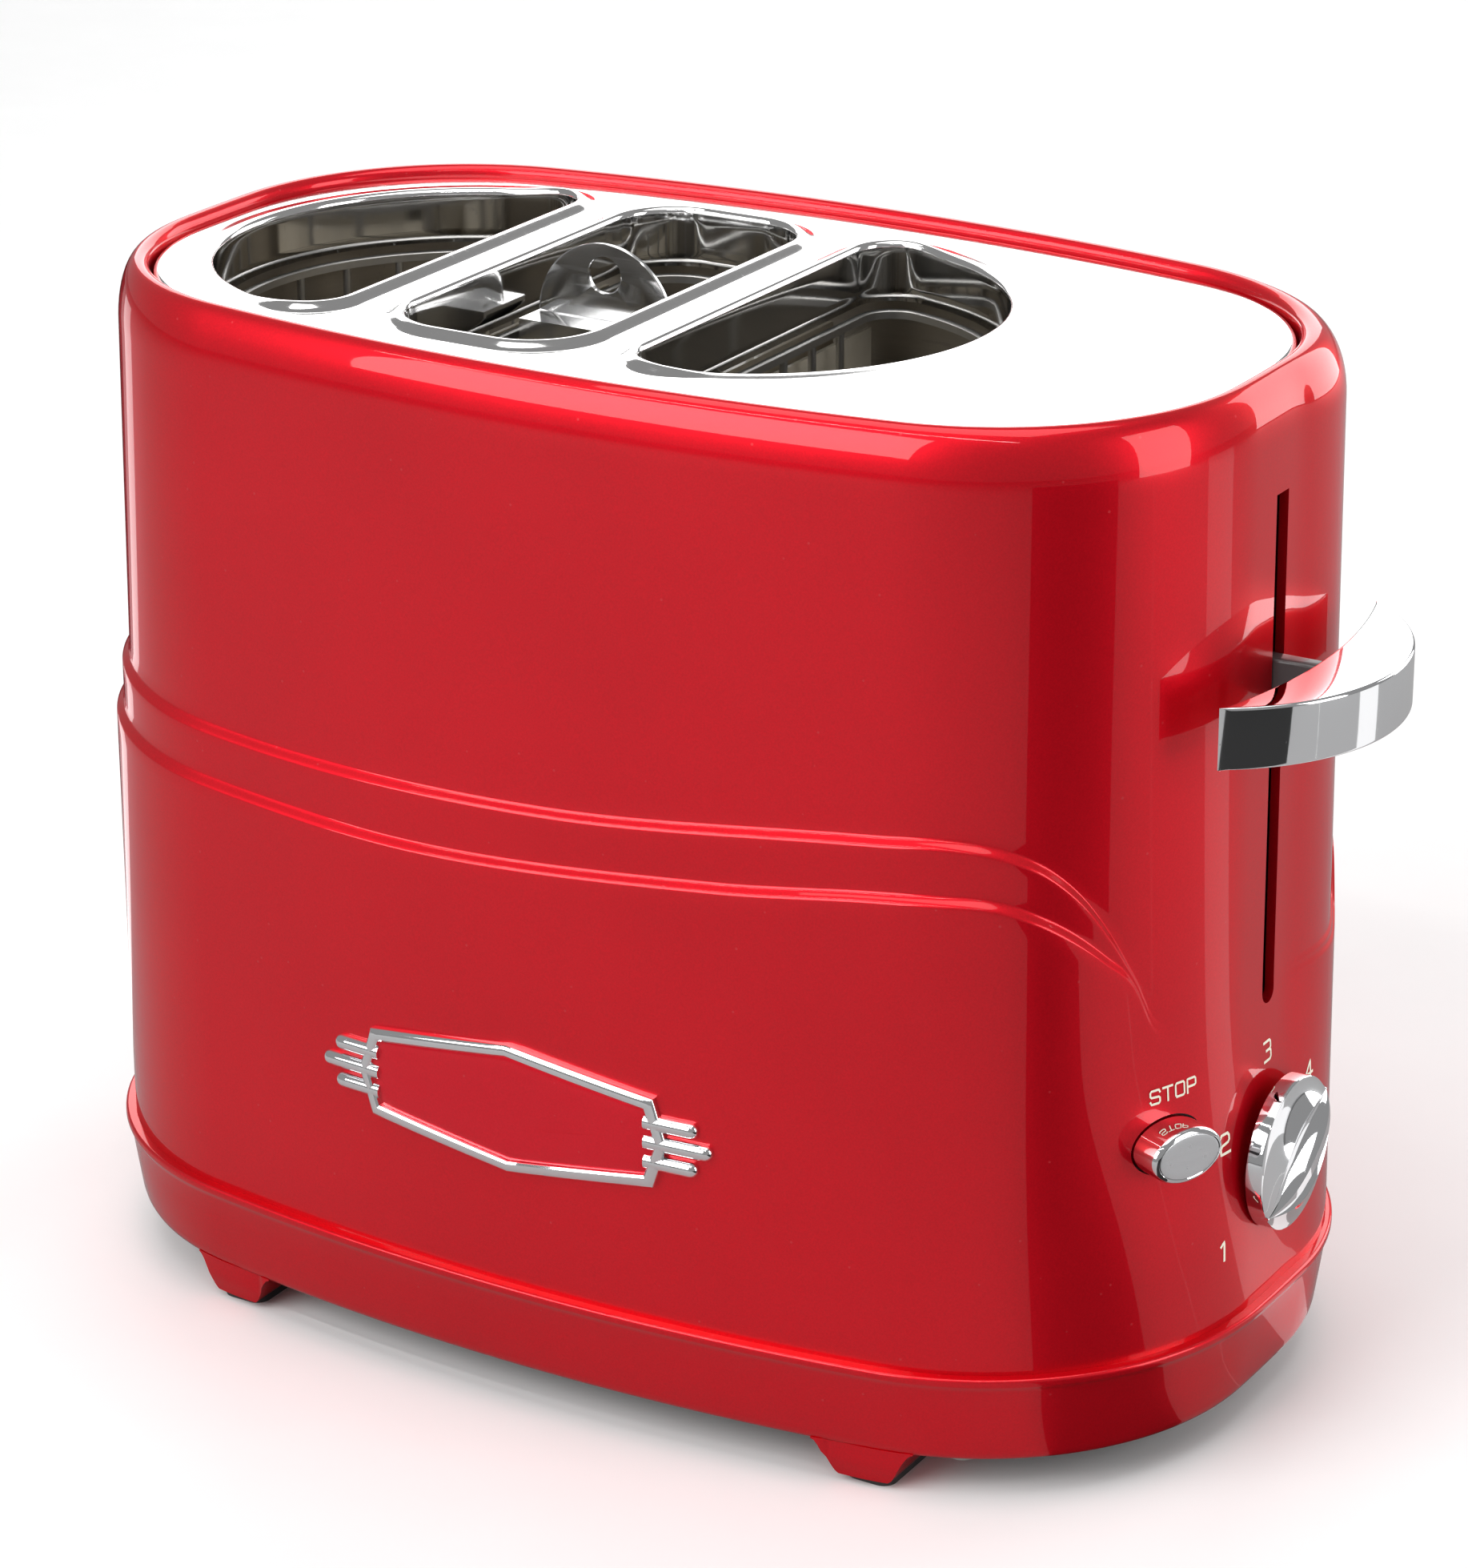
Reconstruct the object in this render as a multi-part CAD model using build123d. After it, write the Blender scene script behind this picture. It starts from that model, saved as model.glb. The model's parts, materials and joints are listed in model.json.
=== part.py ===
from build123d import *
from math import atan2, cos, degrees, radians, sin
import os

# A pop-up toaster for two hot dogs and two buns. Millimetres, +Z up.
# Working frame: x = 0, y = 0 at the middle of the casing, z = 0 under the foot pads,
# +X towards the lever. Every node is moved along X by SHIFT_X when it is written, so that
# the origin of the finished part is the middle of its whole footprint, lever included.

os.makedirs("parts", exist_ok=True)

# ---- casing plan: an oval of eight tangent arcs ----
half_length = 140.0
half_width = 84.0
corner_x = 71.9
corner_y = 10.1
corner_radius = 68.0

# ---- heights ----
pad_height = 1.6
skirt_bottom = 9.2
ledge_z = 29.5
step_low_z = 124.0
step_high_z = 134.5
shoulder_z = 214.0
rim_z = 227.8
plate_z = 225.6

# ---- casing insets from the ledge oval ----
skirt_foot_inset = 3.4
low_wall_inset = 2.25
mid_wall_inset = 4.35
high_wall_inset = 6.0
shoulder_inset = 7.2
rim_inset = 12.3
rim_lip_inset = 14.3
wall = 2.0
sheet = 1.2

# ---- the three slots of the top plate ----
slots_x = -26.0
dog_slot = (43.0, 106.0, 14.0)
bun_radius = 53.0
bun_offset = 37.0
bun_corner = 9.0
lip_width = 4.0
lip_height = 1.6
flange_depth = 12.0

# ---- lever and carriage ----
lever_tip = 159.0
lever_half_span = 37.0
lever_bottom = 158.0
lever_top = 171.0
lever_slot_width = 5.5
lever_slot = (93.5, 204.0)
stem = (4.4, 161.0, 169.5)
arm_z = 100.0
arm_height = 4.0
rod_x = 96.0
rod_y = 20.0
rod_radius = 3.0
running_gap = 0.05

# ---- chassis ----
floor_z = 29.5
shield_inset = 20.0
chassis_x = 72.0
chassis_top = 213.0
guard_bottom = 31.1
guard_top = 212.0
guard_wire = 0.9

# ---- heater cards ----
card_y = (7.0, 54.0)
card_z = (36.0, 206.0)
card_thickness = 1.0
ribbon = 0.3

# ---- electrics ----
board_x = 112.0
board_thickness = 1.6
gland_z = 18.5
magnet_x = 104.5
magnet_y = 23.0
magnet_top = 60.7

# ---- controls on the lever end ----
knob_z = 61.0
knob_radius = 16.5
knob_back = 138.0
knob_face = 142.5
knob_front = 147.0
shaft_grip = 3.0
knob_angle = 36.0
button_angle = -24.5
button_z = 74.0
button_size = (20.0, 13.0)
button_proud = 5.8
button_travel = 3.0
button_back = 3.8
pin_reach = 10.9

# ---- tray, cage, badge, rear loop ----
tray_half = 65.0
tray_front_y = -58.0
tray_back_y = 70.0
cage_half = 18.8
cage_half_length = 48.5
cage_corner = 12.0
cage_floor = arm_z + arm_height + sheet + 0.3
hoop_z = (134.0, 172.0)
hoop_height = 2.4
shelf_z = 216.0
badge_z = 70.6
badge_half = 38.2
badge_rise = 14.5
badge_shoulder = (35.0, 10.0)
bar_tips = (45.0, 48.3, 45.0)
bar_pitch = 4.4
bar_radius = 1.75
loop_z = (175.0, 198.0)
loop_half = 25.0
foot_x = 80.0
boss_x = 98.0
boss_y = 63.3

SHIFT_X = -(lever_tip - half_length) / 2


# ---- plan oval helpers ----
def blend_radius(span, depth):
    """Radius of the long arc that runs tangent into the corner arc."""
    return (span**2 + depth**2 - corner_radius**2) / (2 * (depth - corner_radius))


def oval_arcs():
    """The eight arcs of the plan, counter-clockwise: centre x, centre y, radius, start, end."""
    side_r = blend_radius(corner_x, half_width - corner_y)
    end_r = blend_radius(corner_y, half_length - corner_x)
    side_y = half_width - side_r
    end_x = half_length - end_r
    side_a = degrees(atan2(corner_y - side_y, corner_x))
    end_a = degrees(atan2(corner_y, corner_x - end_x))
    arcs = [(end_x, 0, end_r, -end_a, end_a)]
    arcs.append((corner_x, corner_y, corner_radius, end_a, side_a))
    arcs.append((0, side_y, side_r, side_a, 180 - side_a))
    arcs.append((-corner_x, corner_y, corner_radius, 180 - side_a, 180 - end_a))
    turned = [(-x, -y, r, start + 180, end + 180) for x, y, r, start, end in arcs]
    return arcs + turned


def oval_face(inset, z=0):
    edges = []
    for x, y, r, start, end in oval_arcs():
        edges.append(CenterArc((x, y, z), r - inset, start, end - start))
    return Face(Wire(edges))


def oval_slab(inset, z0, z1):
    return extrude(oval_face(inset, z0), amount=z1 - z0, dir=(0, 0, 1))


def oval_ring(profile):
    """Carry a section round the oval: profile(radius) is its face on the XZ plane."""
    pieces = []
    for x, y, r, start, end in oval_arcs():
        piece = revolve(profile(r), axis=Axis.Z, revolution_arc=end - start)
        pieces.append(Pos(x, y, 0) * Rot(0, 0, start) * piece)
    return pieces[0].fuse(*pieces[1:])


def section(points):
    """A section given as (inset, z) corners."""
    return lambda r: Plane.XZ * make_face(Polyline([(r - inset, z) for inset, z in points], close=True))


def block(x0, x1, y0, y1, z0, z1):
    """A box from its two corners."""
    return Pos((x0 + x1) / 2, (y0 + y1) / 2, (z0 + z1) / 2) * Box(x1 - x0, y1 - y0, z1 - z0)


def rod(p, radius, length, axis="Z"):
    """A round bar that starts at p and runs along one axis."""
    turn = {"Z": Rot(0, 0, 0), "X": Rot(0, 90, 0), "Y": Rot(-90, 0, 0)}[axis]
    low = Align.MIN
    return Pos(*p) * turn * Cylinder(radius, length, align=(Align.CENTER, Align.CENTER, low))


def corner_point(angle, inset):
    """A point on the front corner of the lever end, at an angle below the X axis."""
    r = corner_radius - inset
    return (corner_x + r * cos(radians(angle)), -corner_y + r * sin(radians(angle)))


# ---- casing ----
def shell_section(r):
    """Wall with two steps, a rounded shoulder and a rim that turns down into the channel."""
    roll = (rim_inset - shoulder_inset) * 0.3
    outer = Polyline(
        (r - low_wall_inset, ledge_z),
        (r - low_wall_inset - 0.35, step_low_z),
        (r - mid_wall_inset, step_low_z + 3),
        (r - mid_wall_inset, step_high_z),
        (r - high_wall_inset, step_high_z + 3),
        (r - shoulder_inset, shoulder_z),
    )
    shoulder = ThreePointArc(
        (r - shoulder_inset, shoulder_z),
        (r - shoulder_inset - roll, rim_z - 3.6),
        (r - rim_inset, rim_z),
    )
    lip = Polyline(
        (r - rim_inset, rim_z),
        (r - rim_lip_inset + 0.5, rim_z - 0.5),
        (r - rim_lip_inset, rim_z - 2),
        (r - rim_lip_inset, plate_z - 8),
        (r - rim_lip_inset + wall, plate_z - 8),
        (r - rim_lip_inset + wall, rim_z - 3.2),
    )
    inner_shoulder = ThreePointArc(
        (r - rim_lip_inset + wall, rim_z - 3.2),
        (r - shoulder_inset - wall - roll, rim_z - 6.4),
        (r - shoulder_inset - wall, shoulder_z),
    )
    inner = Polyline(
        (r - shoulder_inset - wall, shoulder_z),
        (r - high_wall_inset - wall, step_high_z + 4),
        (r - mid_wall_inset - wall, step_high_z + 1),
        (r - mid_wall_inset - wall, step_low_z + 4),
        (r - low_wall_inset - 0.35 - wall, step_low_z + 1),
        (r - low_wall_inset - wall, ledge_z),
        (r - low_wall_inset, ledge_z),
    )
    return Plane.XZ * make_face(outer + shoulder + lip + inner_shoulder + inner)


def outer_shell():
    body = oval_ring(shell_section)
    half = lever_slot_width / 2
    body -= block(125, 145, -half, half, lever_slot[0] + half, lever_slot[1])
    body -= rod((125, 0, lever_slot[0] + half), half, 20, "X")
    body -= rod((130, 0, knob_z), 3.8, 12, "X")
    body -= button_prism(0.4, -8, 8)
    return body


def skirt_ring():
    points = [(0, ledge_z), (0, ledge_z - 1.3), (0.8, ledge_z - 2.3), (skirt_foot_inset, skirt_bottom)]
    points += [(6.0, skirt_bottom), (3.6, 26.5), (7.0, 26.5), (7.0, ledge_z)]
    return oval_ring(section(points))


def foot():
    """One foot: a short block across the corner that flares up into the skirt."""
    half = 6.5
    flare = 11.0
    spring = 4.2
    bottom = Polyline((-half, spring), (-half, pad_height), (half, pad_height), (half, spring))
    right = ThreePointArc((half, spring), (half + 1.4, spring + 3.1), (flare, skirt_bottom))
    top = Line((flare, skirt_bottom), (-flare, skirt_bottom))
    left = ThreePointArc((-flare, skirt_bottom), (-half - 1.4, spring + 3.1), (-half, spring))
    face = Plane.XZ * make_face(bottom + right + top + left)
    return extrude(face, amount=42, dir=(0, 1, 0))


def base_skirt():
    body = skirt_ring()
    envelope = oval_slab(skirt_foot_inset, 0, skirt_bottom)
    for sx in (-1, 1):
        for sy in (-1, 1):
            turn = 0 if sy > 0 else 180
            body += (Pos(sx * foot_x, sy * 49, 0) * Rot(0, 0, turn) * foot()) & envelope
            body += rod((sx * boss_x, sy * boss_y, skirt_bottom + sheet), 4.0, 26.5 - skirt_bottom)
            body -= rod((sx * boss_x, sy * boss_y, skirt_bottom), 1.6, 12)
    body -= block(-68, 68, 60, 90, skirt_bottom + sheet, 26.4)
    body -= rod((-142, 0, gland_z), 7.6, 5.6, "X")
    body -= rod((-142, 0, gland_z), 5.6, 14, "X")
    return body


def foot_pads():
    pads = []
    for sx in (-1, 1):
        for sy in (-1, 1):
            pad = extrude(RectangleRounded(11, 20, 3), amount=pad_height)
            pads.append(Pos(sx * foot_x, sy * 61.5, 0) * pad)
    return pads


def bottom_plate():
    body = oval_slab(6.2, skirt_bottom, skirt_bottom + sheet)
    for sx in (-1, 1):
        for sy in (-1, 1):
            body -= rod((sx * boss_x, sy * boss_y, 0), 2.1, 20)
    for side in (-1, 1):
        for k in range(6):
            body -= Pos(side * (98 + 4 * k), 0, skirt_bottom) * Box(1.8, 30, 6)
    return body


def bottom_screws():
    screws = []
    for sx in (-1, 1):
        for sy in (-1, 1):
            head = rod((sx * boss_x, sy * boss_y, skirt_bottom - 1.8), 3.4, 1.8)
            shank = rod((sx * boss_x, sy * boss_y, skirt_bottom), 1.55, 10)
            cross = Pos(sx * boss_x, sy * boss_y, skirt_bottom - 1.8) * (Box(4, 0.9, 1.6) + Box(0.9, 4, 1.6))
            screws.append(head + shank - cross)
    return screws


def top_frame():
    """Heat-proof ring under the rim that carries the steel top plate."""
    points = [(rim_lip_inset + 0.2, 214), (20.4, 214), (20.4, 219), (rim_lip_inset + 0.2, 219)]
    return oval_ring(section(points))


# ---- top plate and its slots ----
def bun_outline(side, grow=0.0):
    """Half-moon slot: side is -1 for the far end and +1 for the lever end."""
    half_moon = Circle(bun_radius) & Pos(bun_radius / 2, 0) * Rectangle(bun_radius, 3 * bun_radius)
    half_moon = fillet(half_moon.vertices(), bun_corner)
    if grow:
        half_moon = offset(half_moon, amount=grow)
    turn = 0 if side > 0 else 180
    return Pos(slots_x + side * bun_offset, 0) * Rot(0, 0, turn) * half_moon


def dog_outline(grow=0.0):
    width, length, corner = dog_slot
    return Pos(slots_x, 0) * RectangleRounded(width + 2 * grow, length + 2 * grow, corner + grow)


def outlines(grow):
    return [bun_outline(-1, grow), dog_outline(grow), bun_outline(1, grow)]


def top_plate():
    edge = [(16.6, plate_z), (15.3, plate_z - 0.6), (14.9, plate_z - 1.9), (14.9, 219)]
    edge += [(15.9, 219), (15.9, plate_z - 2.2), (16.6, plate_z - sheet)]
    body = oval_slab(16.6, plate_z - sheet, plate_z) + oval_ring(section(edge))
    for wide, opening, flange in zip(outlines(lip_width), outlines(0), outlines(1.0)):
        lip = extrude(Pos(0, 0, plate_z) * wide, amount=lip_height)
        body += chamfer(lip.faces().sort_by(Axis.Z)[-1].edges(), 0.8)
        body += extrude(Pos(0, 0, plate_z - flange_depth) * flange, amount=flange_depth)
        body -= extrude(Pos(0, 0, plate_z - 2 * flange_depth) * opening, amount=3 * flange_depth)
    return body


# ---- chassis, heaters and guards ----
def chassis_floor():
    body = oval_slab(5.0, floor_z, floor_z + 1)
    for opening in outlines(-6):
        body -= extrude(Pos(0, 0, floor_z - 1) * opening, amount=4)
    return body


def heat_shield():
    points = [(shield_inset, floor_z + 1), (shield_inset, 214), (shield_inset + 0.8, 214)]
    points += [(shield_inset + 0.8, floor_z + 1)]
    return oval_ring(section(points)) - block(chassis_x, 200, -100, 100, 0, 300)


def chassis_plate():
    body = block(chassis_x, chassis_x + sheet, -58, 58, floor_z + 1, chassis_top)
    return body - block(chassis_x - 5, chassis_x + 5, -5, 5, 33, 138)


def rod_bracket():
    body = block(chassis_x + sheet, rod_x + 8, -28, 28, 208, 209.2)
    for sy in (-1, 1):
        body -= rod((rod_x, sy * rod_y, 200), rod_radius + 0.02, 20)
    return body


def guide_rods():
    return [rod((rod_x, sy * rod_y, floor_z + 1), rod_radius, 180) for sy in (-1, 1)]


def guard_rings(outer, inner):
    """The two flat rings of a food guard, one at each end."""
    ring_height = 2 * guard_wire
    heights = (guard_bottom, guard_top - ring_height)
    return [extrude(Pos(0, 0, z) * (outer - inner), amount=ring_height) for z in heights]


def guard_uprights(points):
    """Upright wires butted between the rings of a food guard."""
    low = guard_bottom + 2 * guard_wire
    high = guard_top - 2 * guard_wire
    return [rod((x, y, low), guard_wire, high - low) for x, y in points]


def bun_guard(side):
    """Upright wires round a half-moon slot, with a gap at y = 0 for the lift arm."""
    r = bun_radius - guard_wire
    base = slots_x + side * bun_offset
    points = []
    for angle in (12, 26, 40, 54):
        for sy in (-1, 1):
            points.append((base + side * r * cos(radians(angle)), sy * r * sin(radians(angle))))
    for y in (10, 22, 34):
        points.append((base + side * guard_wire, y))
        points.append((base + side * guard_wire, -y))
    return guard_rings(bun_outline(side), bun_outline(side, -2 * guard_wire)) + guard_uprights(points)


def dog_guard_rings():
    return guard_rings(dog_outline(), dog_outline(-2 * guard_wire))


def dog_guard():
    width, length, _ = dog_slot
    x = width / 2 - guard_wire
    points = []
    for y in (12, 25, 38):
        for sx in (-1, 1):
            points.append((slots_x + sx * x, y))
            points.append((slots_x + sx * x, -y))
    for sy in (-1, 1):
        points.append((slots_x, sy * (length / 2 - guard_wire)))
    return guard_uprights(points)


def card_places(side):
    """The four heater cards of one ridge: x of each layer and the sign of y."""
    ridge = slots_x + side * (bun_offset - 7.8)
    return [(ridge + dx, sy) for dx in (-5.0, 4.6) for sy in (-1, 1)]


def heater_cards(side):
    half = card_thickness / 2
    cards = []
    for x, sy in card_places(side):
        y0, y1 = sorted((sy * card_y[0], sy * card_y[1]))
        cards.append(block(x - half, x + half, y0, y1, *card_z))
    return cards


def heater_ribbon(side):
    """Flat resistance ribbon wound round each card, one closed turn at each pitch."""
    turns = []
    length = card_y[1] - card_y[0]
    turn = Box(card_thickness + 2 * ribbon, length + 2 * ribbon, 1.4)
    turn -= Box(card_thickness, length, 3)
    for x, sy in card_places(side):
        for k in range(12):
            turns.append(Pos(x, sy * (card_y[0] + card_y[1]) / 2, 46 + 13.5 * k) * turn)
    return turns


# ---- electrics ----
def circuit_board():
    return block(board_x, board_x + board_thickness, -40, 12, 36, 88)


def board_parts():
    x = board_x + board_thickness
    relay = block(x, x + 12, -38, -24, 38, 56)
    capacitor = rod((x, -16, 44), 5, 11, "X")
    chip = block(x, x + 2.4, -22, -8, 76, 83)
    resistors = [block(x, x + 3, -34 + 5 * k, -31 + 5 * k, 61, 68) for k in range(3)]
    return [relay, capacitor, chip] + resistors


def potentiometer():
    x = board_x + board_thickness
    body = block(x, x + 8, -8, 8, knob_z - 8, knob_z + 8)
    body += rod((x + 8, 0, knob_z), 3.7, 5, "X")
    return body - rod((x + 3, 0, knob_z), rod_radius + running_gap, 20, "X")


def stop_switch():
    depth = 3.4
    gap = button_travel + 0.5
    x, y = corner_point(button_angle, low_wall_inset + 0.2 + pin_reach + gap + depth / 2)
    return Pos(x, y, button_z) * Rot(0, 0, button_angle) * Box(depth, 7, 7)


def magnet_core():
    body = block(magnet_x, magnet_x + 15, magnet_y - 7, magnet_y + 7, floor_z + 1, magnet_top)
    return body - block(magnet_x + 4, magnet_x + 11, magnet_y - 9, magnet_y + 9, 36, 62)


def magnet_coil():
    bobbin = block(magnet_x - 1.4, magnet_x + 8, magnet_y - 9.5, magnet_y + 9.5, 37, 57)
    return bobbin - block(magnet_x, magnet_x + 4, magnet_y - 7, magnet_y + 7, 30, 70)


def terminal_block():
    body = block(-133, -122, -14, 14, floor_z + 1, floor_z + 13)
    for y in (-9, 0, 9):
        body -= rod((-127.5, y, floor_z + 6), 1.8, 10)
    return body


def inner_leads():
    """Two insulated leads that run round the front of the chassis to the board."""
    leads = []
    for inset in (11.0, 14.2):
        lead = oval_ring(lambda r, inset=inset: Plane.XZ * (Pos(r - inset, floor_z + 2.4) * Circle(1.2)))
        leads.append(lead & block(-140, 140, -100, -16, 0, 60))
    return leads


def cord_gland():
    body = rod((-139.8, 0, gland_z), 7.4, 3.2, "X") + rod((-137, 0, gland_z), 5.4, 8.5, "X")
    return body - rod((-145, 0, gland_z), 3.75, 30, "X")


# ---- carriage, lifters and lever ----
def carriage_plate():
    body = block(rod_x + 5.2, rod_x + 6.6, -27, 27, arm_z, 172)
    for z in (arm_z + 2, 160):
        for sy in (-1, 1):
            y0, y1 = sorted((sy * 13, sy * 27))
            body += block(rod_x - 6.5, rod_x + 5.2, y0, y1, z, z + 8)
            body -= rod((rod_x, sy * rod_y, z - 1), 5.0, 10)
    return body


def carriage_bushes():
    bushes = []
    for z in (arm_z + 2, 160):
        for sy in (-1, 1):
            bush = rod((rod_x, sy * rod_y, z), 5.0, 8)
            bushes.append(bush - rod((rod_x, sy * rod_y, z - 1), rod_radius + running_gap, 10))
    return bushes


def lift_arm():
    return block(slots_x - 84, rod_x + 5.2, -2.5, 2.5, arm_z, arm_z + arm_height)


def pierced(face, z, pitch):
    """A platform plate with rows of small crumb holes."""
    plate = extrude(Pos(0, 0, z) * face, amount=sheet)
    box = plate.bounding_box()
    centre = box.center()
    holes = []
    nx = int((box.size.X - 14) / pitch / 2)
    ny = int((box.size.Y - 20) / pitch / 2)
    for i in range(-nx, nx + 1):
        for j in range(-ny, ny + 1):
            spot = (centre.X + i * pitch, j * pitch)
            if abs(spot[1]) > 4:
                holes.append(rod((*spot, z - 1), 2.0, 4))
    return plate.cut(*holes)


def bun_lifter(side):
    inner = bun_outline(side, -4.0)
    return pierced(inner, arm_z + arm_height, 11.0)


def cage_platform():
    face = Pos(slots_x, 0) * RectangleRounded(36, 94, 11)
    return pierced(face, arm_z + arm_height, 10.0)


def latch_armature():
    x = rod_x + 6.6
    body = block(x, x + 17, magnet_y - 6, magnet_y + 6, arm_z + 26, arm_z + 27.5)
    return body + block(x, x + 1.2, magnet_y - 6, magnet_y + 4, arm_z + 27.5, arm_z + 38)


def lever_stem():
    thickness, low, high = stem
    return block(rod_x + 6.6, 143.4, -thickness / 2, thickness / 2, low, high)


def lever_handle():
    """Crescent grip: outer and inner arcs that meet at two pointed tips."""
    tip_x = 138.0
    outer = ThreePointArc((tip_x, -lever_half_span), (lever_tip, 0), (tip_x, lever_half_span))
    inner = ThreePointArc((tip_x, lever_half_span), (143.5, 0), (tip_x, -lever_half_span))
    face = Pos(0, 0, lever_bottom) * make_face(outer + inner)
    body = extrude(face, amount=lever_top - lever_bottom, dir=(0, 0, 1))
    rims = body.edges().filter_by(GeomType.CIRCLE)
    return chamfer(rims, 0.6)


def return_spring():
    """Coil that pulls the carriage up, from the lift arm to the rod bracket."""
    low = arm_z + arm_height + 0.6
    high = 207.4
    path = Helix(pitch=(high - low) / 20, height=high - low, radius=4.0, center=(rod_x, 0, low))
    wire = Plane(origin=path @ 0, z_dir=path % 0) * Circle(0.55)
    return sweep(wire, path=path)


# ---- hot dog cage ----
def cage_ring_face(grow=0.0):
    width = 2 * (cage_half + grow)
    length = 2 * (cage_half_length + grow)
    return Pos(slots_x, 0) * RectangleRounded(width, length, cage_corner + grow)


def cage_base():
    plate = extrude(Pos(0, 0, cage_floor) * cage_ring_face(), amount=sheet)
    for sx in (-1, 1):
        for y in (-36, -22, 22, 36):
            plate -= rod((slots_x + sx * 8, y, cage_floor - 1), 3.5, 5)
    return plate


def cage_divider():
    """Folded sheet between the two hot dogs: two walls joined by a shelf."""
    half = cage_half - 1.8
    outer = block(slots_x - half, slots_x + half, -8, 8, cage_floor + sheet, shelf_z)
    return outer - block(slots_x - 30, slots_x + 30, -7, 7, cage_floor, shelf_z - 1)


def cage_tab():
    """Half-round pull tab with a finger hole, standing on the shelf."""
    radius = 16.8
    arch = Circle(radius) & Pos(0, radius / 2) * Rectangle(2 * radius, radius)
    arch = arch - Pos(0, 10) * Circle(4)
    return Pos(slots_x, 0.5, shelf_z) * Rot(90, 0, 0) * extrude(arch, amount=1)


def cage_hoops():
    ring = cage_ring_face() - cage_ring_face(-1.8)
    return [extrude(Pos(0, 0, z) * ring, amount=hoop_height) for z in hoop_z]


def cage_wires():
    """Six uprights that keep the hot dogs standing, butted against the hoops."""
    spans = [(cage_floor + sheet, hoop_z[0]), (hoop_z[0] + hoop_height, hoop_z[1])]
    spots = [(sx * (cage_half - 0.9), sy * 26) for sx in (-1, 1) for sy in (-1, 1)]
    spots += [(0, sy * (cage_half_length - 0.9)) for sy in (-1, 1)]
    return [rod((slots_x + x, y, z0), 0.9, z1 - z0) for x, y in spots for z0, z1 in spans]


# ---- knob and stop button ----
def knob():
    """Round dial with a pointed blade across it."""
    disc = rod((knob_back, 0, knob_z), knob_radius, knob_face - knob_back, "X")
    disc = chamfer(disc.faces().sort_by(Axis.X)[-1].edges(), 1.2)
    disc -= rod((knob_back - 1, 0, knob_z), rod_radius, 1 + shaft_grip, "X")
    rise = knob_front - knob_face
    half_span = 14.5
    half_depth = 4.2
    arc = (half_span**2 + half_depth**2) / (2 * half_depth)
    lens = Pos(0, arc - half_depth) * Circle(arc) & Pos(0, half_depth - arc) * Circle(arc)
    blade = extrude(lens, amount=rise, taper=10)
    facing = Pos(knob_face, 0, knob_z) * Rot(knob_angle - 90, 0, 0) * Rot(0, 90, 0)
    return disc + facing * blade


def knob_shaft():
    start = board_x + board_thickness + 4
    return rod((start, 0, knob_z), rod_radius, knob_back + shaft_grip - start, "X")


def button_prism(grow, back, front, inset=low_wall_inset):
    """Oval prism along the button's own axis, from back to front of the wall face."""
    x, y = corner_point(button_angle, inset + 0.2)
    outline = Ellipse(button_size[1] / 2 + grow, button_size[0] / 2 + grow)
    prism = extrude(outline, amount=front - back)
    place = Pos(x, y, button_z) * Rot(0, 0, button_angle) * Rot(0, 90, 0)
    return place * Pos(0, 0, back) * prism


def stop_button():
    body = button_prism(0, -button_back, button_proud)
    outward = Vector(cos(radians(button_angle)), sin(radians(button_angle)), 0)
    front = body.faces().sort_by(Axis((0, 0, 0), outward))[-1]
    return chamfer(front.edges(), 0.7)


def stop_button_guide():
    """Flange that stops the button falling out, and the pin that meets the switch."""
    flange = button_prism(1.6, -button_back - 1.4, -button_back)
    x, y = corner_point(button_angle, low_wall_inset + 0.2)
    place = Pos(x, y, button_z) * Rot(0, 0, button_angle) * Rot(0, 90, 0)
    length = pin_reach - button_back - 1.4
    pin = place * Pos(0, 0, -pin_reach) * Cylinder(2.2, length, align=(Align.CENTER, Align.CENTER, Align.MIN))
    return flange + pin


# ---- badge and rear loop ----
def badge_outline(grow):
    """Eight-sided plaque outline, on the XZ plane."""
    sx, sz = badge_shoulder
    half = badge_half + grow
    rise = badge_rise + grow
    right = [(half, 0), (sx + grow * 0.8, sz + grow), (0, rise)]
    left = [(-sx - grow * 0.8, sz + grow), (-half, 0), (-sx - grow * 0.8, -sz - grow)]
    low = [(0, -rise), (sx + grow * 0.8, -sz - grow)]
    return make_face(Polyline(right + left + low, close=True))


def on_front(face, y_front):
    """Raise a face from inside the casing to y_front, then trim it to the wall."""
    body = extrude(Plane.XZ * (Pos(0, badge_z) * face), amount=-y_front)
    return body - oval_slab(low_wall_inset + 0.05, ledge_z, 110)


def badge_frame():
    body = on_front(badge_outline(0) - badge_outline(-2.6), -half_width)
    wall_y = half_width - 3.6
    for sx in (-1, 1):
        for k, tip in enumerate(bar_tips):
            z = badge_z + (k - 1) * bar_pitch
            start = badge_half - 4.5
            reach = tip - bar_radius - start
            bar = rod((start, -wall_y, z), bar_radius, reach, "X")
            bar += Pos(start + reach, -wall_y, z) * Sphere(bar_radius)
            body += bar if sx > 0 else mirror(bar, about=Plane.YZ)
    body -= on_front(badge_outline(-2.6), -half_width - 1)
    return body - oval_slab(low_wall_inset + 0.05, ledge_z, 110)


def badge_panel():
    return on_front(badge_outline(-2.6), -half_width + 1.2)


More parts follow.
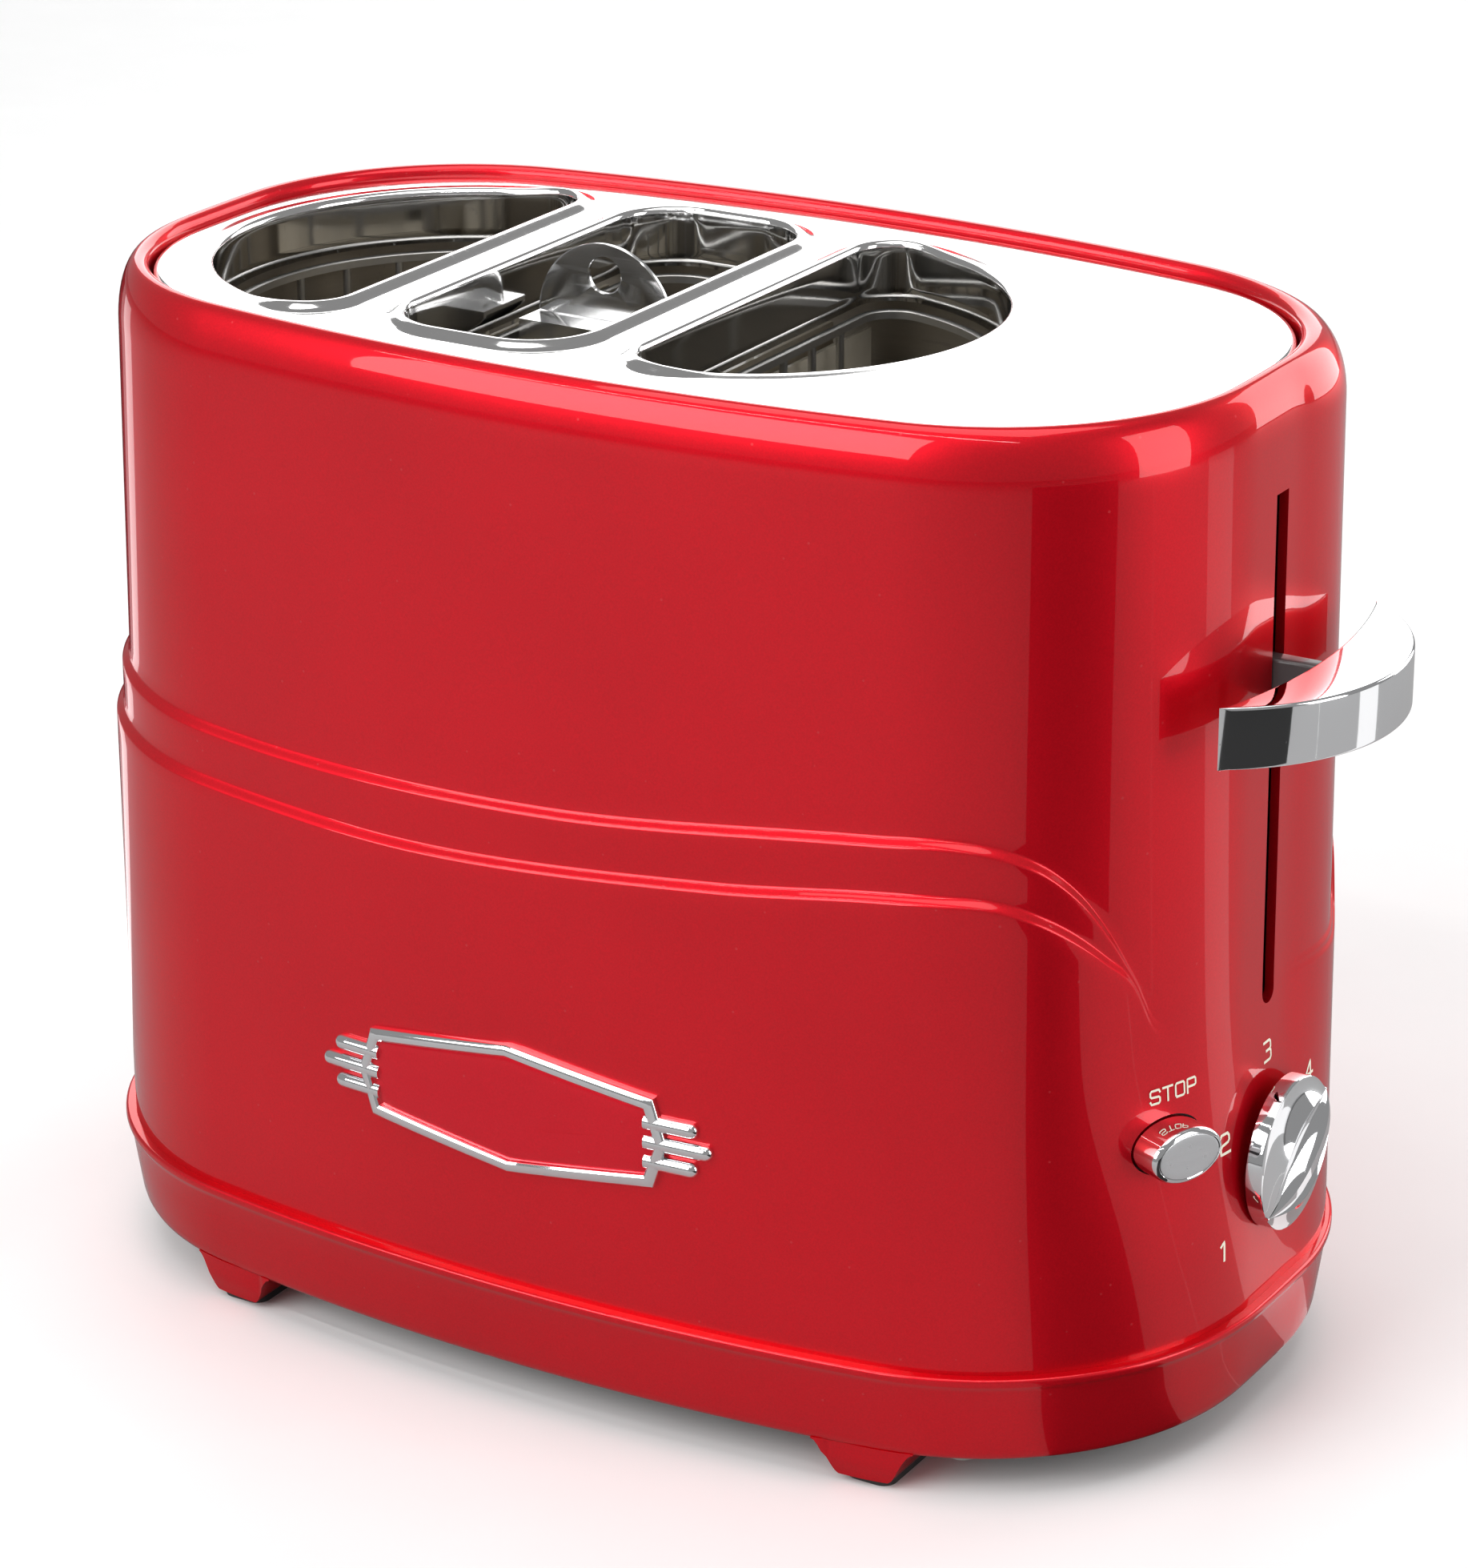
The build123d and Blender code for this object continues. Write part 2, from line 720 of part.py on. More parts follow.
def tong_loop():
    """Rounded strap on the far end that the serving tongs hang in."""
    z0, z1 = loop_z
    block_x = half_length - 0.05
    body = block(-block_x, -118, -loop_half, loop_half, z0, z1)
    body = fillet(body.edges().filter_by(Axis.Z).group_by(Axis.X)[0], 7.0)
    rims = body.faces().sort_by(Axis.Z)
    outer = [e for face in (rims[0], rims[-1]) for e in face.edges() if e.center().X < -119]
    body = fillet(outer, 5.0)
    body -= oval_slab(6.55, z0 - 5, z1 + 5)
    return body - block(-138.0, -130, -16.5, 16.5, z0 - 5, z1 + 5)


# ---- tray ----
def tray_rails():
    return [block(sx * 66.6 - 0.5, sx * 66.6 + 0.5, -56, 62, skirt_bottom + sheet, 17) for sx in (-1, 1)]


def drip_tray():
    z0 = skirt_bottom + sheet + 0.4
    outer = block(-tray_half, tray_half, tray_front_y, tray_back_y, z0, 24)
    return outer - block(1 - tray_half, tray_half - 1, tray_front_y + 1, tray_back_y - 1, z0 + 1, 30)


def tray_front():
    """Curved front that closes the opening in the skirt, with a finger notch."""
    points = [(0.8, ledge_z - 2.3), (skirt_foot_inset, skirt_bottom), (30, skirt_bottom)]
    points += [(30, ledge_z - 2.3)]
    body = oval_ring(section(points)) & block(-67.2, 67.2, tray_back_y, 90, 11.0, 25.8)
    return body - block(-17, 17, tray_back_y + 4, 90, 10, 16.5)


NODES = {
    "outer_shell": outer_shell,
    "base_skirt": base_skirt,
    "foot_pads": foot_pads,
    "bottom_plate": bottom_plate,
    "bottom_screws": bottom_screws,
    "top_frame": top_frame,
    "top_plate": top_plate,
    "chassis_floor": chassis_floor,
    "heat_shield": heat_shield,
    "chassis_plate": chassis_plate,
    "rod_bracket": rod_bracket,
    "guide_rods": guide_rods,
    "bun_guard_left": lambda: bun_guard(-1),
    "bun_guard_right": lambda: bun_guard(1),
    "dog_guard": dog_guard,
    "dog_guard_rings": dog_guard_rings,
    "heater_cards_left": lambda: heater_cards(-1),
    "heater_cards_right": lambda: heater_cards(1),
    "heater_ribbon_left": lambda: heater_ribbon(-1),
    "heater_ribbon_right": lambda: heater_ribbon(1),
    "circuit_board": circuit_board,
    "board_parts": board_parts,
    "potentiometer": potentiometer,
    "stop_switch": stop_switch,
    "magnet_core": magnet_core,
    "magnet_coil": magnet_coil,
    "terminal_block": terminal_block,
    "inner_leads": inner_leads,
    "cord_gland": cord_gland,
    "badge_frame": badge_frame,
    "badge_panel": badge_panel,
    "tong_loop": tong_loop,
    "tray_rails": tray_rails,
    "drip_tray": drip_tray,
    "tray_front": tray_front,
    "carriage_plate": carriage_plate,
    "carriage_bushes": carriage_bushes,
    "lift_arm": lift_arm,
    "bun_lifter_left": lambda: bun_lifter(-1),
    "bun_lifter_right": lambda: bun_lifter(1),
    "cage_platform": cage_platform,
    "latch_armature": latch_armature,
    "lever_stem": lever_stem,
    "lever_handle": lever_handle,
    "return_spring": return_spring,
    "cage_base": cage_base,
    "cage_divider": cage_divider,
    "cage_tab": cage_tab,
    "cage_hoops": cage_hoops,
    "cage_wires": cage_wires,
    "knob": knob,
    "knob_shaft": knob_shaft,
    "stop_button": stop_button,
    "stop_button_guide": stop_button_guide,
}

for name, make in NODES.items():
    shape = make()
    solids = shape if isinstance(shape, list) else shape.solids()
    solids = [solid for item in solids for solid in item.solids()]
    moved = [Pos(SHIFT_X, 0, 0) * solid for solid in solids]
    node = moved[0] if len(moved) == 1 else Compound(children=moved)
    export_step(node, f"parts/{name}.step")
    print(f"{name:22s} {len(moved):3d} solids")
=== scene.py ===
# %% [markdown]
# # A pop-up toaster for hot dogs and buns
#
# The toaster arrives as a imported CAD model: every part in its place, in metres, with +X
# towards the lever, -Y towards the badge and +Z up. This lesson dresses that model. Parts
# whose shape is already right only get a finish. Parts that the eye rests on, such as the
# painted casing and the drawn steel top, are built again here with finer surfaces.

# %% Load the frame
import json
from math import atan2, cos, degrees, pi, radians, sin, sqrt

import bmesh
import bpy
import numpy as np
from mathutils import Matrix, Vector, geometry


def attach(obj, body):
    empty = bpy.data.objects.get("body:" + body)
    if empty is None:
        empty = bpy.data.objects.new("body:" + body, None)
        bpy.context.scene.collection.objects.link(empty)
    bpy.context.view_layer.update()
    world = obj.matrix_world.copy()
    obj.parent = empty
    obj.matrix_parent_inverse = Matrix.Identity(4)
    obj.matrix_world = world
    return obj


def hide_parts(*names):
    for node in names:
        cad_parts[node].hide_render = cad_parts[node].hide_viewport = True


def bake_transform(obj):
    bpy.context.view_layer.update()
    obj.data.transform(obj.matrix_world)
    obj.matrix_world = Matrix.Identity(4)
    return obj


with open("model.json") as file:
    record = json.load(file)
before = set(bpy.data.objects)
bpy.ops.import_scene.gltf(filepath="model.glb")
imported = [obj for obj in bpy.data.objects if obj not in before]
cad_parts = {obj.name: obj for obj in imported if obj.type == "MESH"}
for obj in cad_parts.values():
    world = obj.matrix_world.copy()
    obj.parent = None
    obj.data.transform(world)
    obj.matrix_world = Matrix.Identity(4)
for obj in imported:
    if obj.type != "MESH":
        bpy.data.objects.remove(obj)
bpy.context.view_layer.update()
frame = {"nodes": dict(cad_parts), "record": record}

NODES = frame["nodes"]

# %% [markdown]
# ## Working in millimetres
#
# Kitchen appliances are drawn in millimetres, with x = 0 in the middle of the casing. The
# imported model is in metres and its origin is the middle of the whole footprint, lever
# included. One function turns a list of drawing points and faces into a finished mesh, so
# that every later cell can stay in drawing units.

# %% Mesh helper
MM = 0.001
CASING_SHIFT = -9.5


def new_piece(name, points, faces, sharp=38.0, merge=0.004, recalc=True):
    """A smooth-shaded mesh object at the origin, from points in drawing millimetres."""
    mesh = bpy.data.meshes.new(name)
    mesh.from_pydata([((x + CASING_SHIFT) * MM, y * MM, z * MM) for x, y, z in points], [], faces)
    bm = bmesh.new()
    bm.from_mesh(mesh)
    if merge:
        bmesh.ops.remove_doubles(bm, verts=bm.verts, dist=merge * MM)
    if recalc:
        bmesh.ops.recalc_face_normals(bm, faces=bm.faces)
    bm.to_mesh(mesh)
    bm.free()
    return show(name, mesh, sharp)


def show(name, mesh, sharp=38.0):
    """Put a mesh in the scene as an object, smooth except at edges sharper than an angle."""
    mesh.polygons.foreach_set("use_smooth", [True] * len(mesh.polygons))
    mesh.set_sharp_from_angle(angle=radians(sharp))
    piece = bpy.data.objects.new(name, mesh)
    bpy.context.scene.collection.objects.link(piece)
    return piece


def loft(rings, closed_round=True, closed_along=False, caps=False):
    """Points and quads that skin a list of rings with equal numbers of points."""
    n = len(rings[0])
    points = [p for ring in rings for p in ring]
    faces = []
    spans = len(rings) if closed_along else len(rings) - 1
    for i in range(spans):
        a, b = i * n, ((i + 1) % len(rings)) * n
        for k in range(n if closed_round else n - 1):
            m = (k + 1) % n
            faces.append((a + k, a + m, b + m, b + k))
    if caps:
        faces.append(tuple(range(n)))
        faces.append(tuple(range((len(rings) - 1) * n, len(rings) * n)))
    return points, faces


def gather(shells):
    """Points and faces of several lofts in one pair of lists."""
    points, faces = [], []
    for more, quads in shells:
        faces += [tuple(i + len(points) for i in face) for face in quads]
        points += more
    return points, faces


def settle(piece):
    """Apply a piece's modifiers and keep the result as a plain mesh."""
    bpy.context.view_layer.update()
    evaluated = piece.evaluated_get(bpy.context.evaluated_depsgraph_get())
    mesh = bpy.data.meshes.new_from_object(evaluated)
    piece.modifiers.clear()
    piece.data = mesh
    return piece


def carve(piece, *cutters, sharp=38.0):
    """Cut other pieces out of one, then remove the cutters."""
    for cutter in cutters:
        cut = piece.modifiers.new("cut", "BOOLEAN")
        cut.operation = "DIFFERENCE"
        cut.solver = "EXACT"
        cut.object = cutter
    settle(piece)
    for cutter in cutters:
        bpy.data.objects.remove(cutter)
    piece.data.polygons.foreach_set("use_smooth", [True] * len(piece.data.polygons))
    piece.data.set_sharp_from_angle(angle=radians(sharp))
    return piece


def dress(piece, body, finish, replaces=()):
    """Give a piece its finish, the body it rides on and the CAD nodes it stands for."""
    piece.data.materials.clear()
    piece.data.materials.append(finish)
    if body:
        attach(piece, body)
    if replaces:
        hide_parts(*replaces)
    print(f"{piece.name}: {len(piece.data.polygons)} faces")
    return piece


# %% [markdown]
# ## Node maths that reads like maths
#
# A procedural finish is a web of nodes. Wrapping a socket in a small class with the usual
# operators lets the sums be written as Python expressions. Every other node comes from one
# method, whose settings are set before its sockets, because a setting can change which
# sockets a node has. The same method serves shader trees and geometry trees.

# %% Socket and tree helpers
class Wire:
    """An output socket that can be added, multiplied and so on."""

    def __init__(self, tree, socket):
        self.tree, self.socket = tree, socket

    def _sum(self, operation, first, second):
        return self.tree.node("ShaderNodeMath", {"operation": operation}, {0: first, 1: second})

    def __add__(self, other):
        return self._sum("ADD", self, other)

    def __sub__(self, other):
        return self._sum("SUBTRACT", self, other)

    def __rsub__(self, other):
        return self._sum("SUBTRACT", other, self)

    def __mul__(self, other):
        return self._sum("MULTIPLY", self, other)

    def __truediv__(self, other):
        return self._sum("DIVIDE", self, other)

    def __pow__(self, other):
        return self._sum("POWER", self, other)

    __radd__ = __add__
    __rmul__ = __mul__


class Tree:
    """A node tree with one way to add a node."""

    def __init__(self, nodes):
        self.nodes = nodes

    def node(self, kind, settings=None, inputs=None, out=0):
        made = self.nodes.nodes.new(kind)
        for key, value in (settings or {}).items():
            if key == "stops":
                self._stops(made.color_ramp, value)
            else:
                setattr(made, key, value)
        for key, value in (inputs or {}).items():
            socket = made.inputs[key]
            if isinstance(value, Wire):
                self.nodes.links.new(value.socket, socket)
            else:
                socket.default_value = value
        return Wire(self, made.outputs[out]) if made.outputs else made

    @staticmethod
    def _stops(ramp, stops):
        while len(ramp.elements) < len(stops):
            ramp.elements.new(0.5)
        for element, (place, colour) in zip(ramp.elements, stops):
            element.position = place
            element.color = (*colour, 1) if len(colour) == 3 else colour


class Finish(Tree):
    """A material: its pattern helpers and its shader."""

    def __init__(self, name):
        self.material = bpy.data.materials.new(name)
        self.material.use_nodes = True
        super().__init__(self.material.node_tree)
        self.nodes.nodes.clear()
        self.place = self.node("ShaderNodeTexCoord", out=3)

    def stretched(self, scale, turn=(0, 0, 0)):
        return self.node("ShaderNodeMapping", {}, {"Vector": self.place, "Scale": scale, "Rotation": turn})

    def noise(self, scale, detail=2.0, rough=0.5, vector=None, warp=0.0):
        sockets = {"Vector": vector or self.place, "Scale": scale, "Detail": detail}
        sockets.update({"Roughness": rough, "Distortion": warp})
        return self.node("ShaderNodeTexNoise", {}, sockets)

    def spots(self, scale, low, high):
        """Rare soft spots: 1 inside a spot, 0 elsewhere."""
        cells = self.node("ShaderNodeTexVoronoi", {}, {"Vector": self.place, "Scale": scale})
        return self.between(cells, high, low)

    def between(self, value, low, high):
        """0 below low, 1 above high, smooth in between; low may be above high."""
        sockets = {"Value": value, "From Min": low, "From Max": high}
        return self.node("ShaderNodeMapRange", {"interpolation_type": "SMOOTHSTEP"}, sockets)

    def mix(self, factor, first, second):
        colours = [(*c, 1) if isinstance(c, tuple) and len(c) == 3 else c for c in (first, second)]
        sockets = {0: factor, 6: colours[0], 7: colours[1]}
        return self.node("ShaderNodeMix", {"data_type": "RGBA"}, sockets, out=2)

    def bump(self, height, strength, distance):
        return self.node("ShaderNodeBump", {}, {"Height": height, "Strength": strength, "Distance": distance})

    def shader(self, **sockets):
        fixed = {key.replace("_", " "): value for key, value in sockets.items()}
        for key, value in fixed.items():
            if isinstance(value, tuple) and len(value) == 3:
                fixed[key] = (*value, 1)
        surface = self.node("ShaderNodeBsdfPrincipled", {}, fixed)
        self.node("ShaderNodeOutputMaterial", {}, {"Surface": surface})
        return self.material


# %% [markdown]
# ## Finishes: the candy red lacquer
#
# Candy paint is a tinted clear coat over bright metal flakes. The flakes give a wide red
# sheen, the clear coat gives the sharp reflections. So the shader is metallic and fairly
# rough underneath, with a nearly perfect coat on top. Flakes of a few tenths of a millimetre
# vary the colour, and a faint orange-peel bump sits in the layer below the coat.

# %% Candy red
def candy(name, deep, bright, roughness, coat):
    paint = Finish(name)
    flakes = paint.noise(2600.0, 1.0)
    clouds = paint.noise(14.0, 3.0)
    peel = paint.noise(420.0, 2.0)
    dust = paint.spots(160.0, 0.03, 0.06)
    mixed = paint.mix(flakes * 0.55 + clouds * 0.45, deep, bright)
    colour = paint.mix(dust * 0.06, mixed, (0.75, 0.6, 0.6))
    rough = roughness + flakes * 0.08 + clouds * 0.05 + dust * 0.1
    normal = paint.bump(peel * 0.7 + flakes * 0.3, 0.05, 0.0004)
    return paint.shader(
        Base_Color=colour, Metallic=0.72, Roughness=rough, Normal=normal, Specular_Tint=(1.0, 0.3, 0.4),
        Coat_Weight=coat, Coat_Roughness=0.025, Coat_IOR=1.4,
    )


candy_red = candy("candy_red", (0.50, 0.001, 0.008), (0.86, 0.004, 0.016), 0.32, 1.0)
print("candy red ready")

# %% [markdown]
# ## Finishes: metals
#
# Most of the other parts are metal, and metals differ mainly in tint, in how rough they are
# and in the direction of their grain. One recipe covers them all: long stretched noise for
# the grain, broad noise for handling marks, and rare fine scratches.

# %% Metal recipe
def metal(name, tint, roughness, grain=(40.0, 40.0, 900.0), grain_depth=0.1, smudge=0.08, coat=0.0, dark=0.8):
    finish = Finish(name)
    lines = finish.noise(1.0, 3.0, 0.6, finish.stretched(grain))
    smears = finish.noise(38.0, 4.0, 0.55, warp=0.6)
    scratch = finish.noise(1.0, 1.0, 0.5, finish.stretched((30.0, 1600.0, 700.0), (0.4, 0.7, 0.2)))
    scored = finish.between(scratch, 0.70, 0.74)
    shade = tuple(c * dark for c in tint)
    colour = finish.mix(lines * 0.5 + smears * 0.3 + scored * 0.2, tint, shade)
    rough = roughness + smears * smudge + lines * grain_depth * 0.4 + scored * 0.06
    normal = finish.bump(lines + scored * 0.4, grain_depth, 0.0001)
    return finish.shader(Base_Color=colour, Metallic=1.0, Roughness=rough, Normal=normal, Coat_Weight=coat)


mirror_steel = metal("mirror_steel", (0.86, 0.855, 0.85), 0.05, (700.0, 25.0, 25.0), 0.035, 0.05, dark=0.93)
chrome = metal("bright_chrome", (0.90, 0.905, 0.92), 0.025, (500.0, 500.0, 60.0), 0.02, 0.04, dark=0.95)
brushed_chrome = metal("brushed_chrome", (0.86, 0.87, 0.89), 0.16, (60.0, 60.0, 1500.0), 0.12, 0.08)
sheet_steel = metal("chassis_steel", (0.60, 0.60, 0.59), 0.32, (60.0, 900.0, 60.0), 0.18, 0.14)
tinted_steel = metal("heat_tinted_steel", (0.52, 0.47, 0.40), 0.34, (60.0, 60.0, 700.0), 0.2, 0.16, dark=0.6)
wire_steel = metal("guard_wire", (0.66, 0.65, 0.63), 0.24, (400.0, 400.0, 60.0), 0.1, 0.14)
cage_steel = metal("cage_steel", (0.80, 0.80, 0.80), 0.10, (60.0, 60.0, 900.0), 0.08, 0.08)
ground_steel = metal("ground_rod", (0.74, 0.74, 0.75), 0.12, (60.0, 60.0, 1800.0), 0.06, 0.06)
zinc = metal("screw_zinc", (0.66, 0.67, 0.64), 0.28, (300.0, 300.0, 300.0), 0.2, 0.16)
tray_metal = metal("tray_steel", (0.74, 0.74, 0.74), 0.3, (900.0, 60.0, 60.0), 0.15, 0.14)
heater_alloy = metal("heater_alloy", (0.36, 0.31, 0.28), 0.45, (200.0, 200.0, 900.0), 0.2, 0.2, dark=0.5)
brass = metal("brass_bush", (0.72, 0.53, 0.24), 0.2, (60.0, 60.0, 1500.0), 0.12, 0.12)
copper = metal("copper_coil", (0.70, 0.33, 0.16), 0.3, (60.0, 60.0, 2600.0), 0.5, 0.12, coat=0.6)
print("metals ready")


# %% [markdown]
# ## Finishes: everything that isn't metal
#
# Plastics, mica, rubber and enamel share a second recipe: a fine grain in the bump, broad
# mottling in the colour, and dust that makes spots duller.

# %% Non-metal recipe
def plain(name, base, other, roughness, grain=900.0, depth=0.15, mottle=60.0, coat=0.0, sheen=0.0):
    finish = Finish(name)
    fine = finish.noise(grain, 3.0, 0.6)
    broad = finish.noise(mottle, 4.0, 0.55)
    dust = finish.spots(220.0, 0.05, 0.12)
    colour = finish.mix(broad * 0.7 + fine * 0.2 + dust * 0.1, base, other)
    rough = roughness + broad * 0.1 + dust * 0.12
    normal = finish.bump(fine, depth, 0.0002)
    return finish.shader(
        Base_Color=colour, Roughness=rough, Normal=normal, Coat_Weight=coat, Sheen_Weight=sheen,
    )


black_plastic = plain("black_plastic", (0.014, 0.014, 0.015), (0.03, 0.028, 0.028), 0.42, 1400.0, 0.2)
dark_enamel = plain("dark_stem", (0.035, 0.028, 0.03), (0.07, 0.055, 0.055), 0.28, 1200.0, 0.06, coat=0.5)
foot_rubber = plain("foot_rubber", (0.018, 0.018, 0.018), (0.04, 0.038, 0.036), 0.75, 700.0, 0.3)
mica = plain("mica_board", (0.66, 0.58, 0.44), (0.82, 0.76, 0.64), 0.4, 500.0, 0.2, 220.0, 0.2)
board_green = plain("board_green", (0.02, 0.16, 0.06), (0.03, 0.24, 0.1), 0.35, 600.0, 0.1, 300.0, 0.4)
lead_sleeve = plain("lead_sleeve", (0.50, 0.44, 0.34), (0.62, 0.56, 0.46), 0.6, 900.0, 0.2)
print_cream = plain("print_cream", (0.86, 0.78, 0.62), (0.94, 0.88, 0.74), 0.45, 1800.0, 0.1, 900.0)
red_enamel = candy("red_enamel", (0.60, 0.002, 0.012), (0.88, 0.006, 0.024), 0.26, 1.0)
print("plastics and enamel ready")

# %% [markdown]
# ## The plan of the casing
#
# Seen from above the casing is an oval of eight arcs that run into each other without a
# kink. Moving every arc inwards by the same amount gives a parallel oval, so one list of
# stations round the oval serves the casing, the skirt and the rim of the top.

# %% Oval stations
HALF_LENGTH, HALF_WIDTH = 140.0, 84.0
CORNER_X, CORNER_Y, CORNER_R = 71.9, 10.1, 68.0


def blend_radius(span, depth):
    return (span**2 + depth**2 - CORNER_R**2) / (2 * (depth - CORNER_R))


def oval_arcs():
    """Centre, radius and angles of the eight arcs, starting in the middle of the lever end."""
    side_r = blend_radius(CORNER_X, HALF_WIDTH - CORNER_Y)
    end_r = blend_radius(CORNER_Y, HALF_LENGTH - CORNER_X)
    side_y, end_x = HALF_WIDTH - side_r, HALF_LENGTH - end_r
    side_a = atan2(CORNER_Y - side_y, CORNER_X)
    end_a = atan2(CORNER_Y, CORNER_X - end_x)
    half = [(end_x, 0, end_r, -end_a, end_a), (CORNER_X, CORNER_Y, CORNER_R, end_a, side_a)]
    half.append((0, side_y, side_r, side_a, pi - side_a))
    half.append((-CORNER_X, CORNER_Y, CORNER_R, pi - side_a, pi - end_a))
    return half + [(-x, -y, r, a + pi, b + pi) for x, y, r, a, b in half]


def stations(pitch=2.4, turn=1.2):
    """(centre x, centre y, radius, angle) round the oval, closer together on tight arcs."""
    found = []
    for x, y, r, start, end in oval_arcs():
        count = max(int((end - start) * r / pitch), int(degrees(end - start) / turn), 6)
        found += [(x, y, r, start + (end - start) * k / count) for k in range(count)]
    return found


def at(station, inset, z):
    x, y, r, a = station
    return (x + (r - inset) * cos(a), y + (r - inset) * sin(a), z)


ROUND = stations()
print("stations round the oval:", len(ROUND))

# %% [markdown]
# ## The painted casing
#
# The casing is a drawn shell with two fine steps that run round it and swoop down together
# on both sides of the lever end, where they fade away. If the rows of the mesh ran level,
# the swoops would come out as stair steps. So the rows follow the two step lines, and the
# shell is skinned over rows that bend with them.

# %% Step lines
def ease(t):
    t = min(1.0, max(0.0, t))
    return t * t * (3 - 2 * t)


def smooth_line(knots):
    """A smooth curve through (x, z) knots."""
    xs, zs = zip(*knots)
    slopes = [(zs[i + 1] - zs[i]) / (xs[i + 1] - xs[i]) for i in range(len(xs) - 1)]
    bends = [slopes[0]] + [(a + b) / 2 for a, b in zip(slopes, slopes[1:])] + [slopes[-1]]

    def height(x):
        x = min(max(x, xs[0]), xs[-1])
        i = max(k for k in range(len(xs) - 1) if xs[k] <= x)
        step = xs[i + 1] - xs[i]
        t = (x - xs[i]) / step
        stay, lean = (1 + 2 * t) * (1 - t) ** 2, t * (1 - t) ** 2
        go, brake = t * t * (3 - 2 * t), t * t * (t - 1)
        return stay * zs[i] + lean * step * bends[i] + go * zs[i + 1] + brake * step * bends[i + 1]

    return height


upper_line = smooth_line([(-140, 139), (-60, 135.4), (10, 137.2), (80, 143.6), (97, 144.2), (107, 142),
                          (114, 137.5), (120, 129), (125, 116.5), (129, 102), (140, 99)])
lower_line = smooth_line([(-140, 127.4), (-69, 124.1), (-26, 123.4), (48, 128.8), (94, 133), (106, 131.8),
                          (115, 126.5), (122, 118.4), (126, 111.5), (129, 100), (140, 97)])

# %% Casing section
LEDGE_Z, SHOULDER_Z, RIM_Z = 29.5, 214.0, 227.8
LOW_INSET, RIM_INSET, LIP_INSET = 2.25, 12.3, 14.3
STEP_LOW, STEP_HIGH = 1.75, 1.65
END_INSET = 3.95
BACK_INSET, BACK_LEAN = 1.4, 2.2
WALL = 2.0
LIP_BOTTOM = 217.6


def wall_inset(x, z, lines, y=0.0):
    """How far the wall stands inside the ledge oval, at a place and a height.

    The sides carry both steps. On the lever end they give way to a smooth wall that leans in,
    and the back corner of that end stays fuller than the front one.
    """
    low, high, half = lines
    first = ease((z - low + half) / (2 * half))
    second = ease((z - high + half) / (2 * half))
    lean = 0.35 * min(1, (z - LEDGE_Z) / 95) + 1.2 * max(0, (z - high) / (SHOULDER_Z - high))
    side = LOW_INSET + lean + STEP_LOW * first + STEP_HIGH * second
    end = LOW_INSET + END_INSET * ease((z - 40) / 62) + 1.0 * max(0, (z - 100) / (SHOULDER_Z - 100))
    share = ease((x - 110) / 22)
    wall = side * (1 - share) + end * share
    rise = (z - LEDGE_Z) / (SHOULDER_Z - LEDGE_Z)
    full = BACK_INSET + 0.5 * first + 0.5 * second + BACK_LEAN * rise
    back = ease((y - 5) / 30) * ease((x - 95) / 25)
    return wall * (1 - back) + full * back


def step_lines(x):
    low = lower_line(x)
    high = max(upper_line(x), low + 2.0)
    return low, high, min(1.1, 0.42 * (high - low))


def casing_ring(station):
    """The closed section of the shell at one station: outside, rim, then back inside."""
    x, y, _ = at(station, 4.0, 0)
    lines = step_lines(x)
    shoulder = wall_inset(x, SHOULDER_Z, lines, y)
    low, high, half = lines
    marks = [LEDGE_Z, low - half, low + half, high - half, high + half, SHOULDER_Z]
    rows = []
    for start, end, count in zip(marks, marks[1:], (30, 9, 5, 9, 26)):
        rows += [start + (end - start) * k / count for k in range(count)]
    outer = [(wall_inset(x, z, lines, y), z) for z in rows]
    roll = RIM_INSET - shoulder
    for k in range(14):
        t = radians(90 * k / 13)
        outer.append((shoulder + roll * (1 - cos(t)), SHOULDER_Z + (RIM_Z - SHOULDER_Z) * sin(t)))
    lip = LIP_INSET - RIM_INSET
    for k in range(1, 7):
        t = radians(15 * k)
        outer.append((RIM_INSET + lip * sin(t), RIM_Z - lip * (1 - cos(t))))
    inner = [(LIP_INSET, LIP_BOTTOM), (RIM_INSET, LIP_BOTTOM), (RIM_INSET, 223.0)]
    for z in (214, 190, 160, high + 4, (high + low) / 2, low - 4, 80, 60, 45, LEDGE_Z):
        inner.append((wall_inset(x, z, lines, y) + WALL, z))
    return [at(station, inset, z) for inset, z in outer + inner]


# %% [markdown]
# The lever runs in a slit with a round foot and a square head. The slit, the dial's hole and
# the oval mouth of the stop button are cut with booleans, which need a closed shell: that is
# why the section above comes back down on the inside.

# %% Cutters and the shell
BUTTON_ANGLE, BUTTON_Z, BUTTON_SIZE = radians(-24.5), 75.0, (8.9, 5.9)
KNOB_Z, BORE_R = 61.0, 3.6


def prism_x(name, outline, x0, x1):
    """A straight bar along X over a (y, z) outline."""
    rings = [[(x, y, z) for y, z in outline] for x in (x0, x1)]
    points, faces = loft(rings, caps=True)
    return new_piece(name, points, faces)


def slit_outline(half=2.75, foot=96.25, top=204.0):
    bottom = [(half * cos(a), foot + half * sin(a)) for a in np.radians(np.linspace(180, 360, 15))]
    return bottom + [(half, top), (-half, top)]


def button_frame():
    """Origin on the wall, outward, sideways and up directions of the stop button."""
    out = Vector((cos(BUTTON_ANGLE), sin(BUTTON_ANGLE), 0))
    side = Vector((-out.y, out.x, 0))
    reach = CORNER_R - LOW_INSET - 0.2
    origin = Vector((CORNER_X + reach * out.x, -CORNER_Y + reach * out.y, BUTTON_Z))
    return origin, out, side


